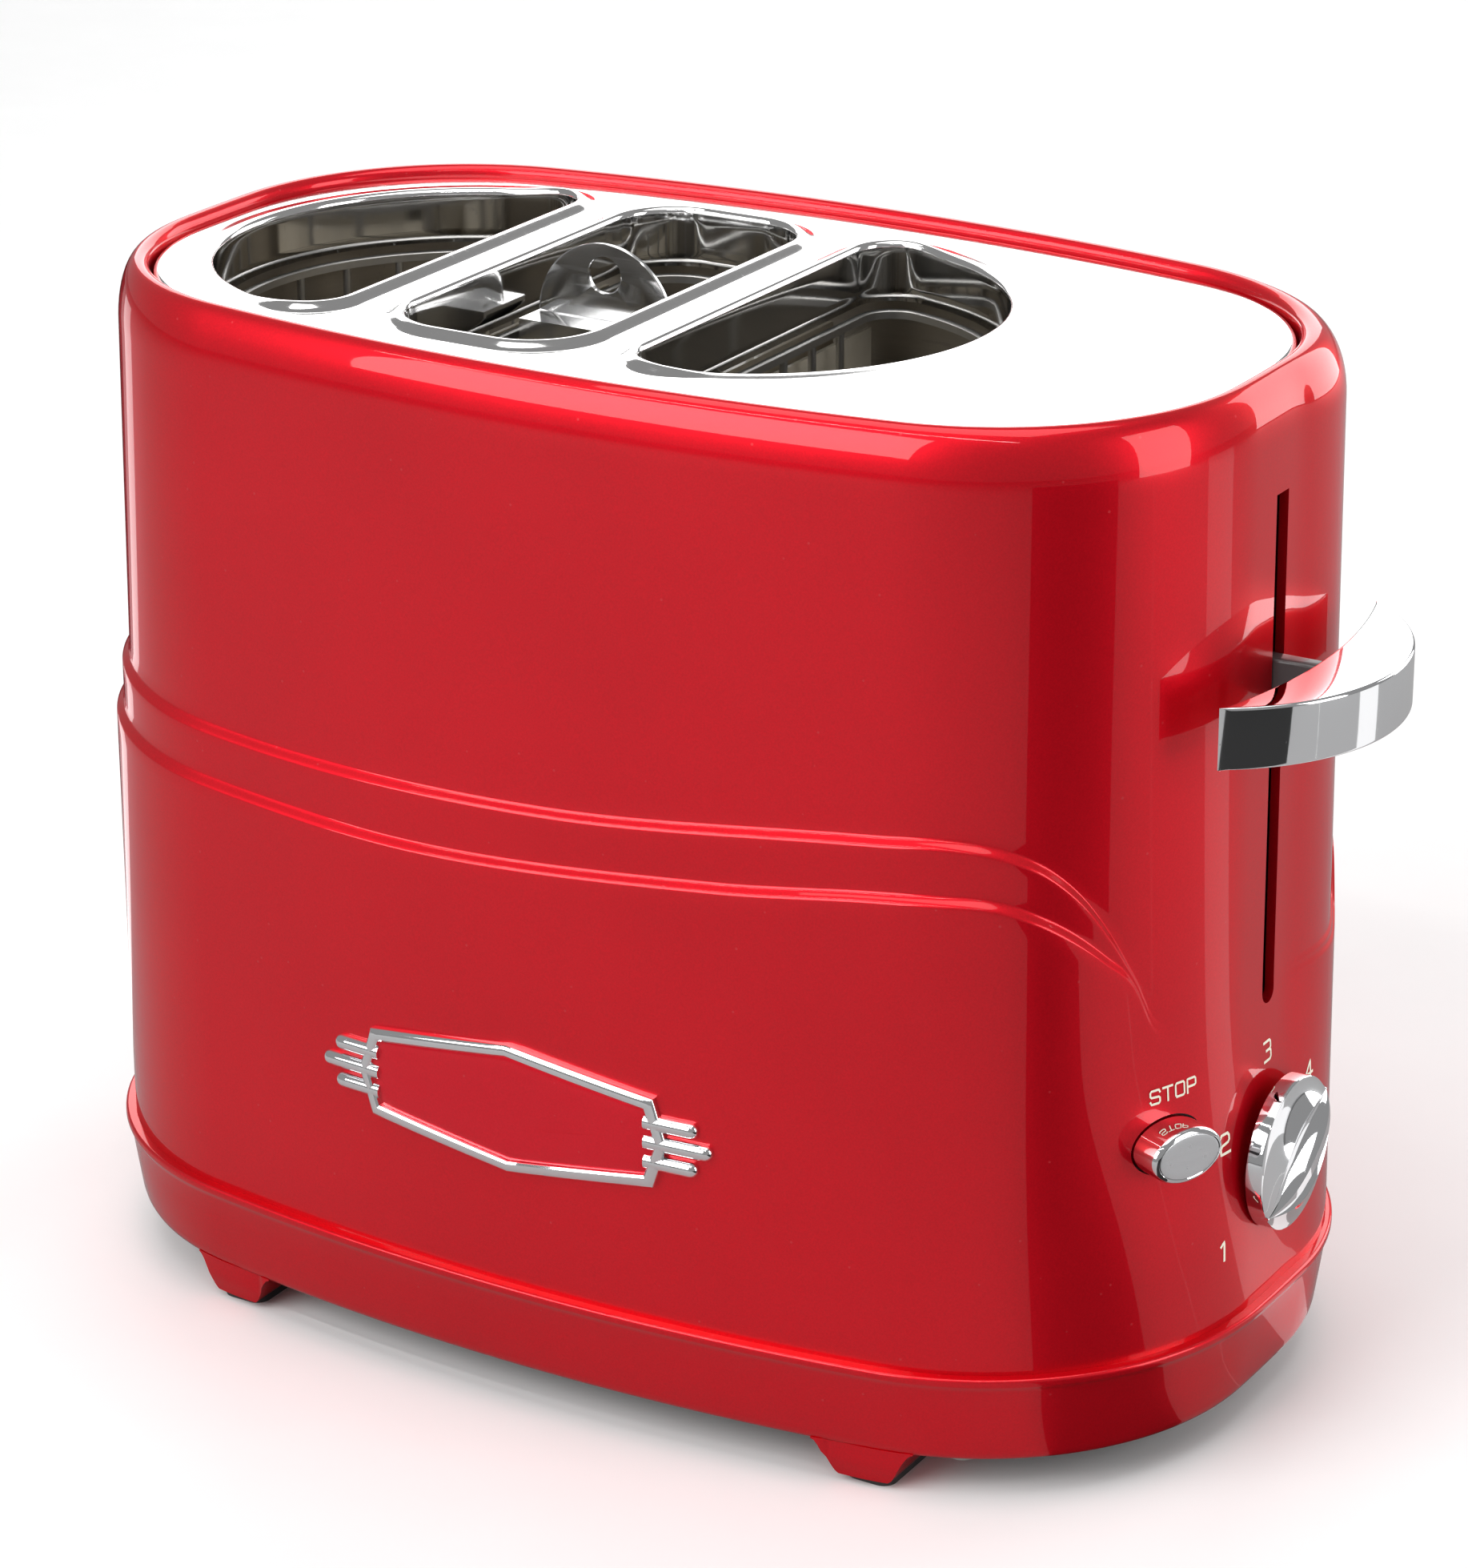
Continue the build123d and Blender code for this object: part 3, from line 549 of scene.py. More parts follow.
def button_ring(depth, grow, count=56):
    origin, out, side = button_frame()
    a, b = BUTTON_SIZE
    ring = []
    for k in range(count):
        t = 2 * pi * k / count
        spot = origin + out * depth + side * (a + grow) * cos(t)
        ring.append(tuple(spot + Vector((0, 0, (b + grow) * sin(t)))))
    return ring


casing = new_piece("casing_shell", *loft([casing_ring(s) for s in ROUND], closed_along=True), merge=0)
slit = prism_x("slit_cutter", slit_outline(), 122, 146)
bore_outline = [(BORE_R * cos(t), KNOB_Z + BORE_R * sin(t)) for t in np.linspace(0, 2 * pi, 24, False)]
bore = prism_x("bore_cutter", bore_outline, 126, 146)
mouth = new_piece("mouth_cutter", *loft([button_ring(-9, 0.35), button_ring(9, 0.35)], caps=True))
carve(casing, slit, bore, mouth)
dress(casing, "casing", candy_red, ["outer_shell"])

# %% [markdown]
# ## The skirt and its feet
#
# The skirt stands a little proud of the casing, and that narrow ledge catches the light as a
# bright line round the base. Four feet flare out of its lower edge. The tray's front closes
# an opening in the back of the skirt, so that stretch is cut away and made as its own piece.

# %% Skirt
SKIRT = [(7.0, 29.5), (0.7, 29.5), (0.25, 29.38), (0.05, 29.1), (0.0, 28.7), (0.0, 28.1),
         (0.18, 27.6), (0.6, 27.2), (0.95, 26.2), (1.6, 21.5), (2.3, 16.5), (3.0, 11.6),
         (3.35, 10.3), (3.8, 9.5), (4.5, 9.2), (6.0, 9.2), (5.2, 15.0), (3.6, 26.5), (7.0, 26.5)]
skirt_rows = [[at(s, i, z) for i, z in SKIRT] for s in ROUND]
skirt = new_piece("skirt", *loft(skirt_rows, closed_along=True), sharp=50, merge=0)


def box_points(x0, x1, y0, y1, z0, z1):
    rings = [[(x0, y0, z), (x1, y0, z), (x1, y1, z), (x0, y1, z)] for z in (z0, z1)]
    return loft(rings, caps=True)


tray_gap = new_piece("tray_gap", *box_points(-68, 68, 60, 90, 10.4, 26.4))
carve(skirt, tray_gap, sharp=50)


def oval_y(x, inset):
    """Half-width of the oval at a place along X."""
    x = abs(x)
    _, side_y, side_r = oval_arcs()[2][:3]
    r = side_r - inset
    if x < CORNER_X and x <= (side_r - inset) * cos(oval_arcs()[2][3]):
        return side_y + sqrt(r * r - x * x)
    r = CORNER_R - inset
    return CORNER_Y + sqrt(max(0.0, r * r - (x - CORNER_X) ** 2))


def foot_columns(sx, sy, foot_x=80.0):
    """A foot as columns along X: each column is a closed section in the YZ plane."""
    columns = []
    for k in range(-14, 15):
        u = 11.0 * k / 14
        flare = ease((abs(u) - 5.6) / 5.4) ** 0.8
        bottom = 1.6 + 7.7 * flare
        x = foot_x + u
        outer = []
        for j in range(9):
            z = 9.6 + (bottom - 9.6) * j / 8
            under = 0.9 * ease((6 - z) / 5)
            outer.append((sx * x, sy * (oval_y(x, 3.55) - under), z))
        inner = [(sx * x, sy * 49.0, bottom), (sx * x, sy * 49.0, 9.6)]
        columns.append(outer + inner)
    return columns


four_feet = [loft(foot_columns(sx, sy), caps=True) for sx in (-1, 1) for sy in (-1, 1)]
feet = new_piece("feet", *gather(four_feet), sharp=50)
dress(skirt, "casing", candy_red, ["base_skirt"])
dress(feet, "casing", candy_red, ["base_skirt"])

# %% Tray front
FRONT_HALF = 67.3
front_section = [(0.85, 25.8), (1.05, 25.6), (1.6, 21.5), (2.3, 16.5), (3.0, 11.9), (3.2, 11.15),
                 (3.6, 11.0), (9.0, 11.0), (9.0, 25.8)]


def on_tray(station):
    x, y, _ = at(station, 3, 0)
    return station[1] < 0 and abs(x) < FRONT_HALF and y > 0


front_rows = [[at(s, i, z) for i, z in front_section] for s in stations(1.6, 0.4) if on_tray(s)]
tray_front = new_piece("tray_front_panel", *loft(front_rows, caps=True), sharp=50)
finger_notch = new_piece("finger_notch", *box_points(-17, 17, 79.2, 90, 8, 16.5))
carve(tray_front, finger_notch, sharp=50)
dress(tray_front, "tray", candy_red, ["tray_front"])

# %% [markdown]
# ## The drawn steel top
#
# The top is one sheet of polished stainless steel. Its outer edge rolls down into the dark
# channel inside the red rim, and each slot has a drawn lip that rises gently and then turns
# down into the slot. A triangulated sheet with rings of points at set distances from every
# outline follows those curves, and a Solidify modifier gives it the thickness of sheet metal.

# %% Slot outlines
SLOTS_X = -26.0
DOG_HALF, DOG_CORNER = (21.5, 53.0), 14.0
BUN_RADIUS, BUN_OFFSET, BUN_CORNER = 53.0, 37.0, 9.0
PLATE_Z = 225.6


def arc(cx, cy, r, start, end, count):
    return [(cx + r * cos(a), cy + r * sin(a)) for a in np.linspace(start, end, count, endpoint=False)]


def run(p, q, count):
    return [(p[0] + (q[0] - p[0]) * k / count, p[1] + (q[1] - p[1]) * k / count) for k in range(count)]


def bun_ring(side, grow):
    """Half-moon outline, moved outwards by grow."""
    fx = BUN_CORNER
    fy = sqrt((BUN_RADIUS - BUN_CORNER) ** 2 - fx**2)
    tilt = atan2(fy, fx)
    r = BUN_CORNER + grow
    ring = arc(0, 0, BUN_RADIUS + grow, -tilt, tilt, 72)
    ring += arc(fx, fy, r, tilt, pi, 16)
    ring += run((fx - r, fy), (fx - r, -fy), 40)
    ring += arc(fx, -fy, r, pi, 2 * pi - tilt, 16)
    return [(SLOTS_X + side * (BUN_OFFSET + x), side * y) for x, y in ring]


def dog_ring(grow):
    a, b = DOG_HALF
    r = DOG_CORNER + grow
    x, y = a - DOG_CORNER, b - DOG_CORNER
    ring = []
    for cx, cy, start, p, q in (
        (x, y, 0, (x + r, -y), (x + r, y)),
        (-x, y, 90, (x, y + r), (-x, y + r)),
        (-x, -y, 180, (-x - r, y), (-x - r, -y)),
        (x, -y, 270, (-x, -y - r), (x, -y - r)),
    ):
        ring += run(p, q, 40 if abs(p[0] - q[0]) < 1 else 8)
        ring += arc(cx, cy, r, radians(start), radians(start + 90), 18)
    return [(SLOTS_X + px, py) for px, py in ring]


SLOT_RINGS = [lambda g: bun_ring(-1, g), dog_ring, lambda g: bun_ring(1, g)]

# %% Steel top
LIP_STEPS = (0.0, 0.12, 0.4, 0.8, 1.3, 1.9, 2.6, 3.4, 4.2, 5.0, 5.5)
LIP_HEIGHT, LIP_ROLL = 1.55, 1.3


def lip_height(x, y, d):
    """Height of the drawn lip above the sheet at distance d outside a slot's outline."""
    ridge = 1 - 0.72 * ease((abs(x - SLOTS_X) - 42) / 16)
    rise = LIP_HEIGHT * ridge * (1 - ease((d - 1.2) / 4.0))
    inside = max(0.0, LIP_ROLL - d)
    return rise - (LIP_ROLL - sqrt(LIP_ROLL**2 - inside**2))


spots, edges, heights = [], [], []


def add_ring(ring, levels):
    first = len(spots)
    spots.extend(ring)
    heights.extend(levels)
    edges.extend((first + k, first + (k + 1) % len(ring)) for k in range(len(ring)))


for make in SLOT_RINGS:
    for d in LIP_STEPS:
        ring = make(d)
        add_ring(ring, [PLATE_Z + lip_height(x, y, d) for x, y in ring])
EDGE = [(16.7, 0.0), (17.2, 0.0), (17.9, 0.0)]
for inset, drop in EDGE:
    ring = [at(s, inset, 0)[:2] for s in ROUND[::2]]
    add_ring(ring, [PLATE_Z - drop] * len(ring))
cdt = geometry.delaunay_2d_cdt([Vector(p) for p in spots], edges, [], 0, 1e-5, True)
sheet_points, sheet_faces, origin_of = [tuple(v) for v in cdt[0]], cdt[2], cdt[3]


def inside_polygon(point, polygon):
    x, y = point
    hit = False
    for (x0, y0), (x1, y1) in zip(polygon, polygon[1:] + polygon[:1]):
        if (y0 > y) != (y1 > y) and x < x0 + (y - y0) * (x1 - x0) / (y1 - y0):
            hit = not hit
    return hit


holes = [make(0.0) for make in SLOT_RINGS]
rim_ring = [at(s, EDGE[0][0], 0)[:2] for s in ROUND[::2]]
kept = []
for face in sheet_faces:
    middle = [sum(sheet_points[i][k] for i in face) / 3 for k in (0, 1)]
    if inside_polygon(middle, rim_ring) and not any(inside_polygon(middle, hole) for hole in holes):
        kept.append(tuple(face))
plate_points = [(x, y, heights[origin_of[i][0]]) for i, (x, y) in enumerate(sheet_points)]

lookup = {(round(x, 3), round(y, 3)): i for i, (x, y) in enumerate(sheet_points)}


def hang(ring, rows):
    """Hang extra rows from a ring of the sheet: each row is (ring, z)."""
    above = [lookup[(round(x, 3), round(y, 3))] for x, y in ring]
    for lower, z in rows:
        first = len(plate_points)
        plate_points.extend((x, y, z) for x, y in lower)
        n = len(ring)
        kept.extend((above[k], above[(k + 1) % n], first + (k + 1) % n, first + k) for k in range(n))
        above = list(range(first, first + n))


for make in SLOT_RINGS:
    hang(make(0.0), [(make(0.0), z) for z in (223.4, 220.5, 217.0, 213.8)])
rolled = []
for k in range(1, 8):
    t = radians(90 * k / 7)
    rolled.append(([at(s, 16.7 - 1.8 * sin(t), 0)[:2] for s in ROUND[::2]], PLATE_Z - 2.0 * (1 - cos(t))))
rolled.append(([at(s, 14.9, 0)[:2] for s in ROUND[::2]], 219.2))
hang(rim_ring, rolled)
top = new_piece("steel_top", plate_points, kept, sharp=60)
if sum(p.normal.z * p.area for p in top.data.polygons) < 0:
    top.data.flip_normals()
skin = top.modifiers.new("sheet", "SOLIDIFY")
skin.thickness, skin.offset = 0.8 * MM, -1
settle(top)
dress(top, "casing", mirror_steel, ["top_plate"])

# %% [markdown]
# ## Wires and rods with Geometry Nodes
#
# Each slot is a pocket of upright wires held by two flat rings. The wires are all alike, so a
# geometry tree stands one rod on every point of a small mesh. Its inputs are the radius, the
# length and the number of sides. The tree ends by realising the instances and setting their
# material, and the result is kept as a plain mesh.

# %% Rods on points
def modifier_tree(name, inputs):
    """A geometry tree with named number inputs; returns the tree and its input node."""
    group = bpy.data.node_groups.new(name, "GeometryNodeTree")
    group.interface.new_socket("Geometry", in_out="INPUT", socket_type="NodeSocketGeometry")
    group.interface.new_socket("Geometry", in_out="OUTPUT", socket_type="NodeSocketGeometry")
    kinds = {float: "NodeSocketFloat", int: "NodeSocketInt", "material": "NodeSocketMaterial"}
    for label, kind in inputs.items():
        group.interface.new_socket(label, in_out="INPUT", socket_type=kinds[kind])
    tree = Tree(group)
    entry = group.nodes.new("NodeGroupInput")
    return tree, {socket.name: Wire(tree, socket) for socket in entry.outputs if socket.name}


def finish_tree(tree, shape, material):
    real = tree.node("GeometryNodeRealizeInstances", {}, {"Geometry": shape})
    smooth = tree.node("GeometryNodeSetShadeSmooth", {}, {"Geometry": real})
    painted = tree.node("GeometryNodeSetMaterial", {}, {"Geometry": smooth, "Material": material})
    tree.node("NodeGroupOutput", {}, {"Geometry": painted})
    return tree.nodes


def grow(name, carrier, group, values):
    """Run a geometry tree on a carrier object and keep the result as a plain mesh."""
    modifier = carrier.modifiers.new(name, "NODES")
    modifier.node_group = group
    for item in group.interface.items_tree:
        if item.in_out == "INPUT" and item.name in values:
            modifier[item.identifier] = values[item.name]
    carrier.name = name
    settle(carrier)
    carrier.data.name = name
    carrier.data.set_sharp_from_angle(angle=radians(40))
    return carrier


def points_object(points):
    mesh = bpy.data.meshes.new("points")
    mesh.from_pydata([((x + CASING_SHIFT) * MM, y * MM, z * MM) for x, y, z in points], [], [])
    carrier = bpy.data.objects.new("points", mesh)
    bpy.context.scene.collection.objects.link(carrier)
    return carrier


rod_inputs = {"Radius": float, "Length": float, "Sides": int, "Finish": "material"}
tree, given = modifier_tree("rods_on_points", rod_inputs)
rod = tree.node("GeometryNodeMeshCylinder", {"fill_type": "NGON"},
                {"Vertices": given["Sides"], "Radius": given["Radius"], "Depth": given["Length"]})
raised = tree.node("ShaderNodeCombineXYZ", {}, {"Z": given["Length"] * 0.5})
stood = tree.node("GeometryNodeTransform", {}, {"Geometry": rod, "Translation": raised})
placed = tree.node("GeometryNodeInstanceOnPoints", {}, {"Points": given["Geometry"], "Instance": stood})
RODS = finish_tree(tree, placed, given["Finish"])

GUARD_Z, GUARD_TOP, WIRE_R = 32.0, 212.0, 0.9


def bun_wires(side):
    r = BUN_RADIUS - WIRE_R
    base = SLOTS_X + side * BUN_OFFSET
    spots = []
    for angle in (12, 26, 40, 54):
        a = radians(angle)
        spots += [(base + side * r * cos(a), sy * r * sin(a), GUARD_Z) for sy in (-1, 1)]
    for y in (10, 22, 34):
        spots += [(base + side * WIRE_R, sy * y, GUARD_Z) for sy in (-1, 1)]
    return spots


def dog_wires():
    x, y = DOG_HALF[0] - WIRE_R, DOG_HALF[1] - WIRE_R
    spots = [(SLOTS_X + sx * x, sy * d, GUARD_Z) for d in (12, 25, 38) for sx in (-1, 1) for sy in (-1, 1)]
    return spots + [(SLOTS_X, sy * y, GUARD_Z) for sy in (-1, 1)]


wire_length = (GUARD_TOP - GUARD_Z - 1) * MM
wires = grow("guard_wires", points_object(bun_wires(-1) + bun_wires(1) + dog_wires()), RODS,
             {"Radius": WIRE_R * MM, "Length": wire_length, "Sides": 12, "Finish": wire_steel})
dress(wires, "casing", wire_steel, ["bun_guard_left", "bun_guard_right", "dog_guard"])

# %% Guard rings
BAND = [(-0.1, 0), (-0.1, 1.8), (-0.4, 1.95), (-1.4, 1.95), (-1.8, 1.7), (-1.8, 0.1), (-1.4, -0.05)]


def band(outline, section, z):
    """A flat ring: a section carried round an outline that can grow and shrink."""
    return loft([[(x, y, z + dz) for x, y in outline(g)] for g, dz in section], closed_along=True)


heights = (GUARD_Z - WIRE_R, GUARD_TOP - 2 * WIRE_R)
all_bands = [band(make, BAND, z) for make in SLOT_RINGS for z in heights]
bands = new_piece("guard_rings", *gather(all_bands), merge=0)
dress(bands, "casing", wire_steel, ["bun_guard_left", "bun_guard_right", "dog_guard_rings"])

# %% [markdown]
# ## The hot dog cage
#
# The two hot dogs stand in a wire cage that lifts out. Its uprights come from the same
# geometry tree as the guards; its pull tab is a half-round plate with a finger hole, cut from
# sheet whose edge is slightly rounded.

# %% Cage wires and tab
CAGE_HALF, CAGE_LONG, CAGE_R, CAGE_BASE = 18.8, 48.5, 12.0, 106.7


def cage_ring(grow):
    a, b, r = CAGE_HALF + grow, CAGE_LONG + grow, CAGE_R + grow
    ring = []
    for cx, cy, start in ((a - r, b - r, 0), (r - a, b - r, 90), (r - a, r - b, 180), (a - r, r - b, 270)):
        ring += arc(cx, cy, r, radians(start), radians(start + 90), 14)
    return [(SLOTS_X + x, y) for x, y in ring]


cage_spots = [(SLOTS_X + sx * (CAGE_HALF - 0.9), sy * 26, CAGE_BASE) for sx in (-1, 1) for sy in (-1, 1)]
cage_spots += [(SLOTS_X, sy * (CAGE_LONG - 0.9), CAGE_BASE) for sy in (-1, 1)]
uprights = grow("cage_uprights", points_object(cage_spots), RODS,
                {"Radius": 0.9 * MM, "Length": (174.2 - CAGE_BASE) * MM, "Sides": 14, "Finish": cage_steel})
dress(uprights, "cage", cage_steel, ["cage_wires"])
HOOP_Z = (134.0, 172.0)
HOOP = [(0, 0.3), (0, 2.1), (-0.3, 2.4), (-1.5, 2.4), (-1.8, 2.1), (-1.8, 0.3), (-1.5, 0), (-0.3, 0)]
hoops = new_piece("cage_hoop_bands", *gather(band(cage_ring, HOOP, z) for z in HOOP_Z), merge=0)
dress(hoops, "cage", cage_steel, ["cage_hoops"])

TAB_R, TAB_Z, HOLE_R, HOLE_Z = 16.8, 216.0, 4.0, 10.0


def tab_rows():
    """Paired rings on the hole and the outline, at matching angles, on a (x, z) plane."""
    outer, hole = [], []
    for k in range(72):
        a = 2 * pi * k / 72
        dx, dz = cos(a), sin(a)
        far = 60.0
        if dz < -1e-9:
            far = min(far, HOLE_Z / -dz)
        b = dz * HOLE_Z
        far = min(far, -b + sqrt(b * b - (HOLE_Z**2 - TAB_R**2)))
        outer.append((dx * far, HOLE_Z + dz * far))
        hole.append((dx * HOLE_R, HOLE_Z + dz * HOLE_R))
    return hole, outer


def toward(first, second, share):
    return [(p[0] + (q[0] - p[0]) * share, p[1] + (q[1] - p[1]) * share) for p, q in zip(first, second)]


hole, outline = tab_rows()
profile = [(0.0, -0.3), (0.0, 0.3), (0.03, 0.5), (0.5, 0.5), (0.96, 0.5), (1.0, 0.32),
           (1.0, -0.32), (0.96, -0.5), (0.5, -0.5), (0.03, -0.5)]
rows = [[(SLOTS_X + x, dy, TAB_Z + z) for x, z in toward(hole, outline, share)] for share, dy in profile]
tab = new_piece("pull_tab", *loft(rows, closed_along=True), sharp=30, merge=0)
dress(tab, "cage", cage_steel, ["cage_tab"])

# %% [markdown]
# ## The return spring
#
# The carriage hangs on a coil spring, fixed to the bracket at the top and to the lift arm at
# the bottom. A geometry tree sweeps a round wire along a spiral. The spring stretches as the
# lever goes down; here it is built once, at rest, and rides on neither body.

# %% Spring
coil_inputs = {"Turns": float, "Radius": float, "Wire": float, "Height": float, "Finish": "material"}
tree, given = modifier_tree("coil", coil_inputs)
spiral = tree.node("GeometryNodeCurveSpiral", {}, {
    "Resolution": 24, "Rotations": given["Turns"], "Start Radius": given["Radius"],
    "End Radius": given["Radius"], "Height": given["Height"]})
ring = tree.node("GeometryNodeCurvePrimitiveCircle", {}, {"Resolution": 10, "Radius": given["Wire"]})
coil = tree.node("GeometryNodeCurveToMesh", {}, {"Curve": spiral, "Profile Curve": ring, "Fill Caps": True})
ROD_X, SPRING_LOW, SPRING_HIGH = 96.0, 104.6, 207.4
moved = tree.node("GeometryNodeTransform", {}, {
    "Geometry": coil, "Translation": ((ROD_X + CASING_SHIFT) * MM, 0, SPRING_LOW * MM)})
COIL = finish_tree(tree, moved, given["Finish"])
spring = grow("return_coil", points_object([(0, 0, 0)]), COIL, {
    "Turns": 20.0, "Radius": 4.0 * MM, "Wire": 0.55 * MM,
    "Height": (SPRING_HIGH - SPRING_LOW) * MM, "Finish": zinc})
dress(spring, None, zinc, ["return_spring"])
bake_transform(spring)

# %% [markdown]
# ## The lever
#
# The grip is a crescent of chromed metal: two arcs that meet in narrow tips. It is skinned
# from one tip to the other, with small round edges, because crisp highlights along those
# edges are what make chrome read as chrome. A flat dark stem joins it to the carriage.

# %% Lever grip
TIP_X, GRIP_OUT, GRIP_IN, GRIP_SPAN = 138.0, 159.0, 143.5, 37.0
GRIP_LOW, GRIP_TOP, GRIP_EDGE = 158.0, 171.0, 0.7


def bulge(apex, y, half=GRIP_SPAN, base=TIP_X):
    """X on the arc through both tips and an apex, at a place along Y."""
    rise = apex - base
    r = (half**2 + rise**2) / (2 * rise)
    return base + rise - r + sqrt(max(0.0, r * r - y * y))


grip_rows = []
for k in range(97):
    y = -GRIP_SPAN * cos(pi * k / 96)
    back, front = bulge(GRIP_IN, y), bulge(GRIP_OUT, y) + 0.02
    edge = min(GRIP_EDGE, (front - back) * 0.45)
    row = []
    for cx, cz, start in ((front - edge, GRIP_TOP - edge, 0), (back + edge, GRIP_TOP - edge, 90),
                          (back + edge, GRIP_LOW + edge, 180), (front - edge, GRIP_LOW + edge, 270)):
        row += [(px, y, pz) for px, pz in arc(cx, cz, edge, radians(start), radians(start + 90), 5)]
        row.append((cx + edge * cos(radians(start + 90)), y, cz + edge * sin(radians(start + 90))))
    grip_rows.append(row)
grip = new_piece("lever_grip", *loft(grip_rows, caps=True), sharp=40, merge=0)
dress(grip, "carriage", chrome, ["lever_handle"])


# %% Lever stem
def soft_block(name, x0, x1, y0, y1, z0, z1, edge):
    """A block with rounded long edges along X."""
    rows = []
    for x in (x0, x0 + edge, x1 - edge, x1):
        tight = edge * 0.6 if x in (x0, x1) else 0.0
        row = []
        for cy, cz, start in ((y1 - edge, z1 - edge, 0), (y0 + edge, z1 - edge, 90),
                              (y0 + edge, z0 + edge, 180), (y1 - edge, z0 + edge, 270)):
            for a in np.radians(np.linspace(start, start + 90, 6)):
                row.append((x, cy + (edge - tight) * cos(a), cz + (edge - tight) * sin(a)))
        rows.append(row)
    return new_piece(name, *loft(rows, caps=True), merge=0)


stem = soft_block("lever_blade", 102.6, 143.9, -2.2, 2.2, 161.0, 169.5, 0.8)
dress(stem, "carriage", dark_enamel, ["lever_stem"])

# %% [markdown]
# ## The dial
#
# The dial is a low chromed disc. Between two points on its edge runs a raised eye with a crisp
# rim, hollowed on both sides of a narrow blade with a flat crest. Each row of the mesh crosses
# the dial at right angles to the blade, and its points sit exactly on the rim and the crest,
# so that those edges stay sharp.

# %% Dial
KNOB_BACK, KNOB_EDGE, KNOB_R = 138.0, 141.6, 16.5
TILT = radians(36.0)
EYE_LENGTH, EYE_HALF = 16.2, 8.6
CREST, EYE_RIM = 146.6, 144.4


def on_dial(u, v, x):
    """A point from dial coordinates: u along the blade, v across it, x out of the casing."""
    return (x, u * cos(TILT) - v * sin(TILT), KNOB_Z + u * sin(TILT) + v * cos(TILT))


def dial_row(u):
    """Half of a section across the dial, from the back of its edge to the middle of the crest."""
    chord = sqrt(KNOB_R**2 - u * u)
    fall = min(1.0, abs(u) / EYE_LENGTH)
    swell = 1 - fall**2
    eye = min(EYE_HALF * swell + 0.12, chord - 0.08)
    crest_half = min(1.1 * swell + 0.06, eye * 0.5)
    rim = EYE_RIM - 2.3 * fall**3
    crest = CREST - 4.4 * fall**2.6
    edge = min(0.4, (chord - eye) * 0.3)
    row = [(chord, KNOB_BACK), (chord, KNOB_EDGE - edge), (chord - edge * 0.3, KNOB_EDGE - edge * 0.3)]
    for t in np.linspace(0, 1, 9):
        v = chord - edge + (eye - chord + edge) * t
        row.append((v, KNOB_EDGE + (rim - KNOB_EDGE) * t**1.5))
    for t in np.linspace(0, 1, 13)[1:]:
        v = eye + (crest_half - eye) * t
        row.append((v, rim + (crest - rim) * t**2.2 - 5.6 * swell * t * (1 - t)))
    row.append((0, crest + 0.02))
    return row


dial_rows = []
for k in range(121):
    u = -(KNOB_R - 0.03) * cos(pi * k / 120)
    row = dial_row(u)
    dial_rows.append([on_dial(u, v, x) for v, x in row + [(-v, x) for v, x in reversed(row[:-1])]])
dial = new_piece("dial_face", *loft(dial_rows, caps=True), sharp=24, merge=0)
dress(dial, "dial", chrome, ["knob"])

# %% [markdown]
# ## The stop button
#
# An oval chromed button stands out of the rounded corner. Its sides are polished and its face
# is flat and finely brushed, so the face is a separate piece with its own finish.

# %% Stop button
BUTTON_PROUD = 4.9
SIDES = [(-3.8, 0), (3.7, 0), (4.3, -0.15), (4.7, -0.5), (BUTTON_PROUD, -1.0), (BUTTON_PROUD - 0.15, -1.2),
         (-3.8, -1.2)]
FACE = [(4.1, -1.25), (BUTTON_PROUD - 0.12, -1.25), (BUTTON_PROUD - 0.05, -1.5), (BUTTON_PROUD - 0.02, -2.5),
        (BUTTON_PROUD, -4.5)]
side_rows = [button_ring(depth, grow_by) for depth, grow_by in SIDES]
sides = new_piece("stop_button_sides", *loft(side_rows, closed_along=True), sharp=40, merge=0)
face_rows = [button_ring(depth, grow_by) for depth, grow_by in FACE]
face = new_piece("stop_button_face", *loft(face_rows, caps=True), sharp=40, merge=0)
dress(sides, "button", chrome, ["stop_button"])
dress(face, "button", brushed_chrome, ["stop_button"])

# %% [markdown]
# ## The badge
#
# The badge is an eight-sided chromed frame round a glossy red panel, with three rounded bars
# on each side, the middle one longest. It carries no lettering. Everything follows the gentle
# curve of the front wall: x and z are drawn flat, and the depth is measured from the wall.

# %% Badge
BADGE_Z, BADGE_HALF, BADGE_RISE, BADGE_SHOULDER = 70.6, 38.2, 14.5, (35.0, 10.0)


def front_y(x, z, proud):
    """Y of the front wall at a place, moved out by proud."""
    return -(oval_y(x, wall_inset(x, z, step_lines(x))) + proud)


def octagon(grow, per_side=10):
    sx, sz = BADGE_SHOULDER
    g = grow * 0.8
    corners = [(BADGE_HALF + grow, 0), (sx + g, sz + grow), (0, BADGE_RISE + grow), (-sx - g, sz + grow),
               (-BADGE_HALF - grow, 0), (-sx - g, -sz - grow), (0, -BADGE_RISE - grow), (sx + g, -sz - grow)]
    ring = []
    for p, q in zip(corners, corners[1:] + corners[:1]):
        ring += run(p, q, per_side)
    return ring


def badge_row(grow, proud):
    return [(x, front_y(x, BADGE_Z + z, proud), BADGE_Z + z) for x, z in octagon(grow)]


